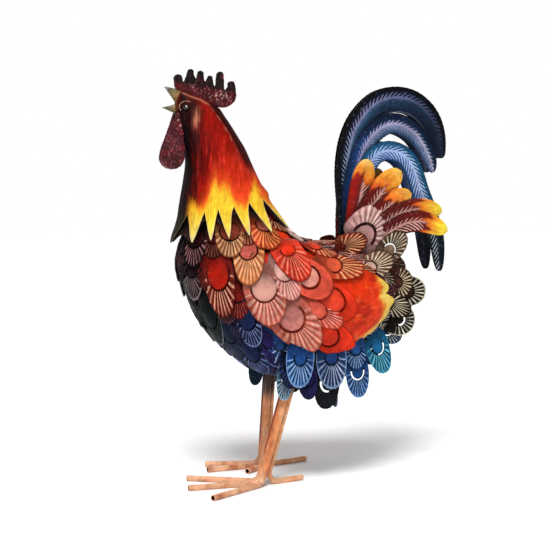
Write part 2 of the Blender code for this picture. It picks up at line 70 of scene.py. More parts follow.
ORIGIN = np.array([0.0365, -0.0067, 0.0])
RNG = np.random.default_rng(11)
UP = np.array([0, 0, 1.0])

# ------------------------------------------------------------------ tables
ROUND = 2.2
BODY = (
    (-105, 283, -22, 320, 36), (-112, 250, -6, 301, 46), (-104, 218, 9, 286, 57),
    (-87.5, 186, 24, 275, 65), (-63, 157, 39, 270, 69), (-34, 133, 54, 268, 70),
    (3, 122, 69, 267, 69), (42, 124, 84, 266, 66), (77, 134, 98, 262, 60),
    (107, 152, 112, 255, 51), (129, 174, 126, 243, 39), (141, 196, 136, 228, 24),
    (145, 212, 145, 212, 0),
)
NECK = (
    (-111.7, 438.5, -106, 438.3, 3.5), (-114.6, 433, -92.5, 433.2, 10),
    (-116.3, 425.3, -78.7, 427.6, 15.5), (-117.0, 417.6, -67.3, 420.6, 19.5),
    (-115.4, 408.9, -60.5, 411.3, 22.5), (-111.8, 398, -53, 400.3, 25),
    (-107.5, 384.8, -45, 387.6, 28), (-104.6, 371.7, -37.5, 375.4, 31),
    (-104.2, 357.3, -31, 360.8, 34.5), (-106, 343, -24.5, 346.8, 38),
    (-108.4, 327.5, -19, 336.1, 42), (-110.8, 310.9, -12, 327, 47),
    (-113.7, 294.3, -8.5, 316.5, 52), (-123, 270, 15, 287, 60),
)
TIPS = (0, 31.5, 63.5, 86.5, 102.5, 119.5, 140, 180)
NOTCHES = (16, 46.5, 73, 91.5, 109.5, 128, 157)
HACKLE_REACH = 1.4
HEM = 11.5
CAPE_WALL = 1.3
WING_TOP = ((-60, 240), (-34, 262), (0, 268), (34, 262), (66, 250), (92, 240), (108, 231))
WING_LOW = ((-60, 226), (-40, 188), (-8, 170), (28, 158), (62, 157), (93, 169), (120, 194))
# Comb fingers, front to back: top x, z, half width, lean; then the notches.
COMB = (
    (-113.4, 456.8, 4.7, -0.16), (-97.9, 462.9, 3.4, 0.2), (-86.6, 461.4, 3.5, 0.2),
    (-76.3, 456.2, 2.7, 0.1), (-64.8, 461.0, 4.1, 0.04), (-53.2, 450.4, 4.0, -0.3),
)
COMB_NOTCH = ((-106.9, 448.2), (-92.6, 451.8), (-82.2, 448.8), (-71.2, 443.8), (-59.6, 440.4))
COMB_BASE = ((-46.6, 440), (-46.4, 434), (-48.4, 428.2), (-52.8, 424.0), (-58.5, 421.4),
             (-64.4, 421.0), (-70, 422.6))
TUBE, TUBE_WALL, TUBE_GAP, BEND, HIP_Z = 6.5, 0.9, 0.4, 11.0, 152.0
FEET = {
    "left": dict(ankle=(-31, -39), lean=(43, 0), toes=dict(
        inner=(-103, 8), middle=(-113, -38), outer=(-99, -89), hind=(23, -28))),
    "right": dict(ankle=(-1, 49), lean=(9, 0), toes=dict(
        inner=(-28, 20), middle=(-70, 41), outer=(-65, 71), hind=(59, 64))),
}
TAIL_ROOT = (90, 268)

# -------------------------------------------------------- camera of the view
AZ, EL, LENS = -18.0, 4.5, 85.0
AIM = np.array([0, 0, 0.232])
FOCUS = 275.5 / math.tan(math.atan(18 / LENS))
DIST = 275.5 * 0.00114 / math.tan(math.atan(18 / LENS))
_a, _e = math.radians(AZ), math.radians(EL)
BACK = np.array([math.sin(_a) * math.cos(_e), -math.cos(_a) * math.cos(_e), math.sin(_e)])
EYE = AIM + BACK * DIST
RIGHT = np.cross(-BACK, UP)
RIGHT /= np.linalg.norm(RIGHT)
OVER = np.cross(RIGHT, -BACK)


def project(p):
    """Where design-frame points fall in the 551 x 551 view."""
    d = np.asarray(p, float) - EYE
    depth = d @ -BACK
    return np.stack([275.5 + FOCUS * (d @ RIGHT) / depth, 275.5 - FOCUS * (d @ OVER) / depth], -1)


def sight(px, py):
    v = -BACK + RIGHT * ((px - 275.5) / FOCUS) - OVER * ((py - 275.5) / FOCUS)
    return v / np.linalg.norm(v)


# --------------------------------------------------------------- utilities
def lin(code):
    """Linear colour from a hex code."""
    c = np.array([int(code[i:i + 2], 16) for i in (1, 3, 5)]) / 255
    return np.where(c <= 0.04045, c / 12.92, ((c + 0.055) / 1.055) ** 2.4)


def step(a, b, x):
    t = np.clip((np.asarray(x, float) - a) / (b - a), 0, 1)
    return t * t * (3 - 2 * t)


def mix(a, b, f):
    f = np.asarray(f, float)[..., None]
    return a * (1 - f) + b * f


def ramp(x, stops):
    """Colours along x through (place, colour) stops."""
    xs = [s for s, _ in stops]
    cols = np.array([c for _, c in stops])
    return np.stack([np.interp(x, xs, cols[:, k]) for k in range(3)], -1)


def splines(rows, s):
    """Catmull-Rom curve through a table at many places."""
    table = np.asarray(rows, float)
    n = len(table)
    s = np.asarray(s, float)
    i = np.clip(np.floor(s).astype(int), 0, n - 2)
    t = (s - i)[..., None]
    p0, p1 = table[np.maximum(i - 1, 0)], table[i]
    p2, p3 = table[i + 1], table[np.minimum(i + 2, n - 1)]
    return 0.5 * (2 * p1 + (p2 - p0) * t + (2 * p0 - 5 * p1 + 4 * p2 - p3) * t * t
                  + (3 * p1 - p0 - 3 * p2 + p3) * t ** 3)


def ovals(table, s, th, lift=0.0):
    """Points on a lofted oval; th = 0 is the back, pi the front; lift in mm."""
    s, th = np.broadcast_arrays(np.asarray(s, float), np.asarray(th, float))
    row = splines(table, s)
    fx, fz, bx, bz, w = (row[..., k] for k in range(5))
    c = np.stack([(fx + bx) / 2, np.zeros_like(fx), (fz + bz) / 2], -1)
    half = np.stack([(bx - fx) / 2, np.zeros_like(fx), (bz - fz) / 2], -1)
    ct, st = np.cos(th), np.sin(th)
    k = 2 / ROUND
    off = half * (np.sign(ct) * np.abs(ct) ** k)[..., None]
    off = off + np.stack([np.zeros_like(w), -w * np.sign(st) * np.abs(st) ** k,
                          np.zeros_like(w)], -1)
    size = np.maximum(np.linalg.norm(off, axis=-1), 1e-3)
    lift = np.broadcast_to(np.asarray(lift, float), size.shape)
    return (c + off * (1 + lift / size)[..., None]) * MM


def curve(points, count):
    fine = splines(points, np.linspace(0, len(points) - 1, 400))
    run = np.concatenate([[0], np.cumsum(np.linalg.norm(np.diff(fine, axis=0), axis=1))])
    want = np.linspace(0, run[-1], count)
    return np.stack([np.interp(want, run, fine[:, k]) for k in range(3)], -1), run[-1]


def fuzz(points, size, stretch=(1, 1, 1), octaves=2):
    """Smooth noise in -1..1 at design-frame points."""
    q = np.asarray(points, float) / size / np.array(stretch)
    return np.array([noise.fractal(Vector(p), 1.0, 2.0, octaves) for p in q])


def unit(v):
    return v / np.maximum(np.linalg.norm(v, axis=-1, keepdims=True), 1e-12)


class Heap:
    """Gathers closed shells that become one piece."""

    def __init__(self):
        self.v, self.q, self.t3, self.tint, self.rib, self.fan, self.n = [], [], [], [], [], [], 0

    def add(self, v, quads, tris, tint, rib=None, fan=None):
        v = np.asarray(v, float)
        n = len(v)
        quads = np.asarray(quads, int).reshape(-1, 4)
        tris = np.asarray(tris, int).reshape(-1, 3)
        p = v - v.mean(0)
        vol = 0.0
        for f in ((quads[:, (0, 1, 2)], quads[:, (0, 2, 3)], tris) if len(tris) else
                  (quads[:, (0, 1, 2)], quads[:, (0, 2, 3)])):
            vol += np.einsum("ij,ij->i", p[f[:, 0]], np.cross(p[f[:, 1]], p[f[:, 2]])).sum()
        if vol < 0:
            quads, tris = quads[:, ::-1], tris[:, ::-1]
        self.v.append(v)
        self.q.append(quads + self.n)
        self.t3.append(tris + self.n)
        tint = np.broadcast_to(tint, (n, 3))
        self.tint.append(tint)
        self.rib.append(np.broadcast_to(tint if rib is None else rib, (n, 3)))
        self.fan.append(np.zeros((n, 3)) if fan is None else np.broadcast_to(fan, (n, 3)))
        self.n += n

    def mirrored(self):
        other = Heap()
        for v, q, t, a, b, c in zip(self.v, self.q, self.t3, self.tint, self.rib, self.fan):
            other.v.append(v * np.array([1, -1, 1]))
            other.q.append(q[:, ::-1])
            other.t3.append(t[:, ::-1])
            other.tint.append(a)
            other.rib.append(b)
            other.fan.append(c)
        other.n = self.n
        return other

    def join(self, other):
        for v, q, t, a, b, c in zip(other.v, other.q, other.t3, other.tint, other.rib, other.fan):
            self.v.append(v)
            self.q.append(q + self.n)
            self.t3.append(t + self.n)
            self.tint.append(a)
            self.rib.append(b)
            self.fan.append(c)
        self.n += other.n
        return self


def finish_piece(ob, mat, nodes):
    ob.data.materials.clear()
    ob.data.materials.append(mat)
    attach(ob, "root")
    if nodes:
        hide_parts(*nodes)
    return ob


def store(mesh, name, values, kind):
    att = mesh.attributes.new(name, kind, "POINT")
    values = np.asarray(values, np.float32)
    if kind == "FLOAT_COLOR":
        values = np.concatenate([values, np.ones((len(values), 1), np.float32)], 1)
        att.data.foreach_set("color", values.ravel())
    else:
        att.data.foreach_set("vector", values.ravel())


def piece(name, heap, mat, nodes=(), smooth=50.0):
    v = np.concatenate(heap.v) - ORIGIN
    faces = np.concatenate(heap.q).tolist() + np.concatenate(heap.t3).tolist()
    mesh = bpy.data.meshes.new(name)
    mesh.from_pydata(v.tolist(), [], faces)
    mesh.update()
    store(mesh, "tint", np.clip(np.concatenate(heap.tint), 0, 1), "FLOAT_COLOR")
    store(mesh, "rib", np.clip(np.concatenate(heap.rib), 0, 1), "FLOAT_COLOR")
    store(mesh, "fan", np.concatenate(heap.fan), "FLOAT_VECTOR")
    mesh.shade_smooth()
    mesh.set_sharp_from_angle(angle=math.radians(smooth))
    ob = bpy.data.objects.new(name, mesh)
    bpy.context.scene.collection.objects.link(ob)
    return finish_piece(ob, mat, nodes)


def tally():
    total = 0
    for ob in bpy.context.scene.objects:
        if ob.type == "MESH" and not ob.hide_render:
            total += sum(len(p.vertices) - 2 for p in ob.data.polygons)
    return total


# --------------------------------------------------------------- materials
class Nodes:
    """A small helper that adds and links shader nodes."""

    def __init__(self, name):
        self.mat = bpy.data.materials.new(name)
        self.mat.use_nodes = True
        self.tree = self.mat.node_tree
        self.bsdf = self.tree.nodes["Principled BSDF"]
        self.coord = None

    def put(self, value, socket):
        if isinstance(value, bpy.types.NodeSocket):
            self.tree.links.new(value, socket)
        elif hasattr(socket.default_value, "__len__"):
            socket.default_value = tuple(value) if len(value) == len(socket.default_value) \
                else (*value, 1.0)
        else:
            socket.default_value = value

    def math(self, op, a, b=0.0, clamp=False):
        n = self.tree.nodes.new("ShaderNodeMath")
        n.operation = op
        n.use_clamp = clamp
        self.put(a, n.inputs[0])
        self.put(b, n.inputs[1])
        return n.outputs[0]

    def attr(self, name, out="Color"):
        n = self.tree.nodes.new("ShaderNodeAttribute")
        n.attribute_name = name
        return n.outputs[out]

    def split(self, vec):
        n = self.tree.nodes.new("ShaderNodeSeparateXYZ")
        self.put(vec, n.inputs[0])
        return n.outputs

    def mix(self, f, a, b, blend="MIX"):
        n = self.tree.nodes.new("ShaderNodeMix")
        n.data_type = "RGBA"
        n.blend_type = blend
        n.clamp_result = True
        self.put(f, n.inputs[0])
        self.put(a, n.inputs[6])
        self.put(b, n.inputs[7])
        return n.outputs[2]

    def place(self, scale=(1, 1, 1)):
        if self.coord is None:
            n = self.tree.nodes.new("ShaderNodeTexCoord")
            self.coord = n.outputs["Object"]
        if tuple(scale) == (1, 1, 1):
            return self.coord
        m = self.tree.nodes.new("ShaderNodeMapping")
        self.put(self.coord, m.inputs["Vector"])
        m.inputs["Scale"].default_value = scale
        return m.outputs[0]

    def noise(self, scale, detail=3.0, rough=0.55, at=None, distort=0.0):
        n = self.tree.nodes.new("ShaderNodeTexNoise")
        self.put(at if at is not None else self.place(), n.inputs["Vector"])
        n.inputs["Scale"].default_value = scale
        n.inputs["Detail"].default_value = detail
        n.inputs["Roughness"].default_value = rough
        n.inputs["Distortion"].default_value = distort
        return n.outputs["Fac"]

    def cells(self, scale, at=None):
        n = self.tree.nodes.new("ShaderNodeTexVoronoi")
        self.put(at if at is not None else self.place(), n.inputs["Vector"])
        n.inputs["Scale"].default_value = scale
        return n.outputs["Distance"]

    def remap(self, x, a, b, c=0.0, d=1.0, smooth=True):
        n = self.tree.nodes.new("ShaderNodeMapRange")
        n.interpolation_type = "SMOOTHSTEP" if smooth else "LINEAR"
        n.clamp = True
        self.put(x, n.inputs["Value"])
        for key, val in (("From Min", a), ("From Max", b), ("To Min", c), ("To Max", d)):
            n.inputs[key].default_value = val
        return n.outputs[0]

    def bump(self, height, strength, distance, normal=None):
        n = self.tree.nodes.new("ShaderNodeBump")
        n.inputs["Strength"].default_value = strength
        n.inputs["Distance"].default_value = distance
        self.put(height, n.inputs["Height"])
        if normal is not None:
            self.put(normal, n.inputs["Normal"])
        return n.outputs[0]

    def out(self, **values):
        names = {"colour": "Base Color", "rough": "Roughness", "metal": "Metallic",
                 "normal": "Normal", "coat": "Coat Weight", "coat_rough": "Coat Roughness",
                 "specular": "Specular IOR Level"}
        for key, val in values.items():
            self.put(val, self.bsdf.inputs[names[key]])
        return self.mat


def enamel(name, metal=0.25, rough=(0.24, 0.46), coat=0.5, coat_rough=0.14, streak=None,
           mottle=0.35, stripe=(0.52, 0.86), specular=0.2):
    """Painted sheet: vertex paint, brushed ribs read from stored coordinates,
    uneven pigment, dulled patches and a lightly dimpled varnish."""
    n = Nodes(name)
    fan = n.split(n.attr("fan", "Vector"))
    wobble = n.noise(420.0, 2.0, 0.6)
    fine = n.noise(1500.0, 3.0, 0.6)
    wave = n.math("COSINE", n.math("MULTIPLY", fan[0], 2 * math.pi))
    wave = n.math("MULTIPLY_ADD", wave, 0.5)
    wave.node.inputs[2].default_value = 0.5
    rag = n.math("MULTIPLY", n.math("SUBTRACT", wobble, 0.5), 0.55)
    wave = n.math("ADD", wave, rag)
    crest = n.remap(n.math("ADD", wave, n.math("MULTIPLY", n.math("SUBTRACT", fan[1], 1.0), 0.5)),
                    stripe[0], stripe[1])
    crest = n.math("MULTIPLY", crest, n.remap(fan[1], 0.02, 0.35))
    valley = n.math("MULTIPLY", n.remap(wave, 0.02, 0.3, 1.0, 0.0), n.remap(fan[1], 0.3, 0.9))
    base = n.mix(n.math("MULTIPLY", valley, 0.55), n.attr("tint"), (0.012, 0.006, 0.006))
    crest = n.math("MULTIPLY", crest, n.remap(n.noise(75.0, 2.0, 0.5), 0.34, 0.54, 0.5, 1.0))
    colour = n.mix(crest, base, n.attr("rib"))
    cloud = n.noise(95.0, 4.0, 0.6, distort=0.6)
    dark = n.remap(cloud, 0.34, 0.66, 1 - mottle, 1.0 + 0.0)
    tone = n.mix(1.0, colour, (1, 1, 1), "MULTIPLY")
    tone.node.inputs[7].default_value = (1, 1, 1, 1)
    shade = n.tree.nodes.new("ShaderNodeCombineColor")
    for k in range(3):
        n.put(dark, shade.inputs[k])
    n.put(shade.outputs[0], tone.node.inputs[7])
    colour = tone
    speck = n.remap(n.noise(260.0, 5.0, 0.7), 0.60, 0.70)
    colour = n.mix(n.math("MULTIPLY", speck, 0.35), colour, n.attr("rib"))
    if streak is not None:
        line = n.noise(1.0, 4.0, 0.65, at=n.place(streak))
        colour = n.mix(n.remap(line, 0.48, 0.78, 0.0, 0.35), colour, n.attr("rib"))
        colour = n.mix(n.remap(line, 0.22, 0.44, 0.35, 0.0), colour, (0.03, 0.004, 0.003))
    dull = n.noise(55.0, 3.0, 0.6)
    dimple = n.math("ADD", n.math("MULTIPLY", n.noise(330.0, 2.0, 0.5), 0.7),
                    n.math("MULTIPLY", fine, 0.3))
    return n.out(colour=colour, rough=n.remap(dull, 0.3, 0.7, rough[0], rough[1]), metal=metal,
                 coat=coat, coat_rough=coat_rough, specular=specular, normal=n.bump(dimple, 0.35, 0.0012))


# ------------------------------------------------------- body surface to hug
def body_tree():
    ths = np.linspace(0, 2 * math.pi, 160, endpoint=False)
    ss = np.linspace(0.0, 11.96, 120)
    grid = ovals(BODY, ss[:, None], ths[None, :])
    verts = grid.reshape(-1, 3)
    faces = []
    for i in range(len(ss) - 1):
        for j in range(160):
            k = (j + 1) % 160
            faces.append((i * 160 + j, i * 160 + k, (i + 1) * 160 + k, (i + 1) * 160 + j))
    return BVHTree.FromPolygons([Vector(v) for v in verts], faces)


TREE = body_tree()
HEART = np.array([0.03, 0, 0.205])


def nearest(p):
    loc, nor, _, _ = TREE.find_nearest(Vector(p))
    loc, nor = np.array(loc), np.array(nor)
    if nor @ (loc - HEART) < 0:
        nor = -nor
    return loc, nor


def seen(px, py):
    """Where a sight line through a pixel first meets the body."""
    d = sight(px, py)
    loc, nor, _, _ = TREE.ray_cast(Vector(EYE), Vector(d))
    if loc is None:
        return None, None
    nor = np.array(nor)
    if nor @ d > 0:
        nor = -nor
    return np.array(loc), nor


def wing_lift(p):
    """Extra lift in mm, point by point, where the wing panel lies beneath."""
    x, z = p[..., 0] / MM, p[..., 2] / MM
    uc = np.clip((x + 60) / 168, 0, 1)
    top = splines(WING_TOP, uc * (len(WING_TOP) - 1))[..., 1]
    low = splines(WING_LOW, uc * (len(WING_LOW) - 1))[..., 1]
    inside = np.minimum(np.minimum(top - z, z - low), np.minimum(x + 60, 112 - x))
    return 6.7 * step(-9, 0, inside)


# ------------------------------------------------------------ ribbed scales
NRIB, PER = 13, 4
FAN = math.radians(98)
PSI = np.concatenate([np.linspace(-FAN, FAN, NRIB * PER + 1),
                      np.linspace(FAN, 2 * math.pi - FAN, 12)[1:-1]])
NC = len(PSI)
INFAN = np.abs(PSI) <= FAN + 1e-6
PHASE = np.where(INFAN, (PSI + FAN) / (2 * FAN) * NRIB, 0.0)
SHARE = (0.0, 0.4, 0.75, 0.93)                    # rings inside the oval
OUTER = (0.0, 0.07, 0.28, 0.55, 0.86, 1.0)        # rings from slot to rim


def scale_faces(slotted):
    """Quads of one scale: front rings 0..9, back rings 10..13, ends, slot."""
    half_slot = math.radians(96)
    gap = np.array([abs((PSI[c] + PSI[(c + 1) % NC]) / 2) < half_slot if c < NC - 1 else False
                    for c in range(NC)]) if slotted else np.zeros(NC, bool)
    front = len(SHARE) + 1 + len(OUTER) - 1       # index of the rim ring
    lip_in, lip_out = len(SHARE), len(SHARE) + 1
    nf = len(SHARE) + 1 + len(OUTER)              # rings on the front
    back = [nf, nf + 1, nf + 2, nf + 3, nf + 4]   # centre, lip_in, lip_out, mid, rim
    quads = []

    def at(r, c):
        return r * NC + c % NC
    for c in range(NC):
        d = c + 1
        for r in range(nf - 1):
            if gap[c] and r == lip_in:
                continue
            quads.append((at(r, c), at(r, d), at(r + 1, d), at(r + 1, c)))
        for a, b in zip(back, back[1:]):
            if gap[c] and a == back[1]:
                continue
            quads.append((at(b, c), at(b, d), at(a, d), at(a, c)))
        quads.append((at(nf - 1, c), at(nf - 1, d), at(back[4], d), at(back[4], c)))
        if gap[c]:
            quads.append((at(lip_in, c), at(lip_in, d), at(back[1], d), at(back[1], c)))
            quads.append((at(back[2], c), at(back[2], d), at(lip_out, d), at(lip_out, c)))
            if not gap[c - 1]:
                quads.append((at(lip_in, c), at(back[1], c), at(back[2], c), at(lip_out, c)))
            if not gap[(c + 1) % NC]:
                quads.append((at(lip_out, d), at(back[2], d), at(back[1], d), at(lip_in, d)))
    return np.array(quads), nf


QUADS = {True: scale_faces(True), False: scale_faces(False)}


def scale(heap, P, N, D, tip, wide, root=None, eye=None, tint=(), base=0.7, slope=4.0,
          slotted=True, hang=None, flat=False, curl=0.0, tilt=0.0, ribs=0.5, camber=1.0,
          thick=0.95, slot=1.3, wing=False, skew=0.0, smooth=False):
    """One cut and ribbed scale laid over the body from its fan centre P.

    tip, root, wide in mm: reach to the tip, reach to the root and full width.
    eye: half width and half length of the plain oval inside the slot.
    tint: colours (oval, groove, rib, rim).  hang: reach in mm after which it
    leaves the body and hangs straight.  flat: it lies in its own plane."""
    root = tip * 0.75 if root is None else root
    a = wide / 2
    ow, ol = eye if eye else (a * 0.66, tip * 0.36)
    N = unit(N)
    D = unit(D - N * (D @ N))
    U = np.cross(N, D)
    b = np.where(np.cos(PSI) >= 0, tip, root)
    alpha = np.arctan2(a * np.sin(PSI), b * np.cos(PSI)) + skew * np.sin(PSI) ** 2
    p = np.where(np.cos(PSI) >= 0, 2.25, 1.9)
    sa, ca = np.abs(np.sin(alpha)), np.abs(np.cos(alpha))
    rim = (np.maximum(sa / a, 1e-9) ** p + np.maximum(ca / b, 1e-9) ** p) ** (-1 / p)
    fade = np.where(INFAN, np.clip((FAN - np.abs(PSI)) / 0.5, 0, 1), 0.0)
    rim = rim * (1 + 0.007 * fade * np.cos(2 * math.pi * PHASE))
    oval_r = 1 / np.sqrt((sa / ow) ** 2 + (ca / ol) ** 2)
    oval_r = np.minimum(oval_r, rim - slot - 1.0)
    quads, nf = QUADS[slotted]
    rings = [oval_r * f for f in SHARE] + [oval_r]
    rings += [oval_r + slot + (rim - oval_r - slot) * f for f in OUTER]
    reach = np.stack(rings + [oval_r * 0, oval_r, oval_r + slot,
                              oval_r + slot + (rim - oval_r - slot) * 0.5, rim])
    relief = np.zeros((nf, NC))
    for k, f in enumerate(SHARE):
        relief[k] = 1.15 * (1 - f * f) + 0.1
    relief[len(SHARE)] = 0.1
    wave = 0.5 + 0.5 * np.cos(2 * math.pi * PHASE)
    for k, f in enumerate(OUTER):
        amp = ribs * (0.15, 0.75, 1.0, 1.05, 1.0, 0.7)[k]
        relief[len(SHARE) + 1 + k] = 0.25 * (k in (1, 2)) + amp * wave * fade
    x = reach * np.sin(alpha)
    y = reach * np.cos(alpha)
    along = np.clip((y + root) / (tip + root), 0, 1)
    lift = base + slope * along ** 1.15 + tilt * x / a - camber * (x / a) ** 2
    lift = np.concatenate([lift[:nf] + relief, lift[nf:] - thick]) * MM
    pos = np.empty((len(reach), NC, 3))
    out = np.empty((len(reach), NC, 3))
    if flat:
        for c in range(NC):
            d = U * math.sin(alpha[c]) + D * math.cos(alpha[c])
            r = reach[:, c]
            bend = curl * (np.clip(r * math.cos(alpha[c]), 0, None) / tip) ** 2
            pos[:, c] = P + d * r[:, None] * MM - N * bend[:, None] * MM
            out[:, c] = N
    else:
        steps = 9
        for c in range(NC):
            d = U * math.sin(alpha[c]) + D * math.cos(alpha[c])
            q, n = P.copy(), N.copy()
            h = rim[c] / steps
            qs, ns = [q], [n]
            for k in range(steps):
                q = q + d * h * MM
                if hang is None or h * (k + 1) * math.cos(alpha[c]) < hang:
                    q2, n2 = nearest(q)
                    d = d - n2 * (d @ n2)
                    d = d / np.linalg.norm(d)
                    q, n = q2, unit(n * 0.35 + n2 * 0.65)
                qs.append(q)
                ns.append(n)
            dist = np.arange(steps + 1) * h
            qs, ns = np.array(qs), np.array(ns)
            for k in range(3):
                pos[:, c, k] = np.interp(reach[:, c], dist, qs[:, k])
                out[:, c, k] = np.interp(reach[:, c], dist, ns[:, k])
    if wing:
        lift = lift + wing_lift(pos) * MM
    v = pos + unit(out) * lift[..., None]
    v[0] = v[0].mean(0)
    v[nf] = v[nf].mean(0)
    # paint
    oval_c, groove, rib_c, rim_c = tint
    t = np.empty((len(reach), NC, 3))
    r2 = np.empty((len(reach), NC, 3))
    mask = np.zeros((len(reach), NC))
    n_in = len(SHARE) + 1
    for k in range(n_in):
        f = k / (n_in - 1)
        t[k] = oval_c * (1 - 0.45 * f ** 3) + groove * 0.2 * f ** 3
    glow = step(-0.9, 0.9, np.sin(PSI * 1.3 + tip))[:, None]
    for k, f in enumerate(OUTER):
        g = groove * (0.75 + 0.35 * f) + oval_c * 0.10
        t[n_in + k] = g * (0.85 + 0.3 * glow)
        mask[n_in + k] = (0.35, 0.85, 1.0, 1.0, 0.95, 0.6)[k] * fade
    # painted shade at the cut: the rings either side of the slot are darkened, strongly along the slot and
    # lightly round the rest of the oval
    ring = np.where(np.abs(PSI) < math.radians(100), 0.28, 0.78)[:, None]
    t[n_in - 1] *= ring
    t[n_in] *= ring
    if smooth:
        mask *= 0.06
    # the rim ring takes the given rim colour; without one it is a dark line of painted shade where
    # overlapping scales meet
    t[n_in + 5] = rim_c if rim_c is not None else groove * 0.3
    mask[n_in + 5] = 0.0
    mask[n_in + 4] *= 0.8
    plain = ~INFAN
    t[n_in:nf, plain] = groove * 0.45 + oval_c * 0.5
    t[nf:] = groove * 0.35
    # painted shadow towards the root, which the scale above overlaps
    shade = 0.38 + 0.62 * step(0.12, 0.5, along[:nf])
    t[:nf] *= shade[..., None]
    tone_and_highlight = 0.86 + 0.2 * np.sin(np.round(PHASE) * 2.4 + tip * 1.7)
    r2[:] = rib_c * tone_and_highlight[:, None]
    r2[:n_in] = oval_c * 0.55 + rib_c * 0.45
    fan = np.zeros((len(reach), NC, 3))
    fan[..., 0] = PHASE
    fan[..., 1] = mask
    fan[..., 2] = tip
    # weld the two centres to single points
    flat_v = v.reshape(-1, 3)
    quads_l, tris = [], []
    for q in quads:
        q = [0 if i < NC else (nf * NC if nf * NC <= i < (nf + 1) * NC else i) for i in q]
        u = list(dict.fromkeys(q))
        (quads_l if len(u) == 4 else tris).append(u)
    used = np.ones(len(flat_v), bool)
    used[1:NC] = False
    used[nf * NC + 1:(nf + 1) * NC] = False
    index = np.cumsum(used) - 1
    heap.add(flat_v[used], index[np.array(quads_l)], index[np.array(tris)],
             t.reshape(-1, 3)[used], r2.reshape(-1, 3)[used], fan.reshape(-1, 3)[used])


def laid(heap, centre, end, wide, colours, plane=None, **kw):
    """A scale placed by where its fan centre and tip fall in the view."""
    colours = [lin(c) if c else None for c in colours]
    wide = wide * 1.14
    if plane is not None:
        def meet(px, py):
            d = sight(px, py)
            return EYE + d * ((plane * MM - EYE[1]) / d[1])
        P, T = meet(*centre), meet(*end)
        N = unit(np.array(kw.pop("face", (-0.12, -1.0, 0.05)), float))
        D = T - P
        tip = np.linalg.norm(D) / MM
        scale(heap, P, N, D, tip, wide, tint=colours, flat=True, **kw)
        return P
    P, N = seen(*centre)
    if P is None:
        d = sight(*centre)
        P = EYE + d * ((-0.03 - EYE[1]) / d[1])
        P, N = nearest(P)
    d = sight(*end)
    hit, _ = seen(*end)
    flatp = EYE + d * (((P - EYE) @ N) / (d @ N))
    if hit is not None:
        T = hit
    else:
        T = flatp
    D = T - P
    tip = np.linalg.norm(D) / MM
    kw.setdefault("wing", True)
    scale(heap, P, N, D, tip, wide, tint=colours, **kw)
    return P


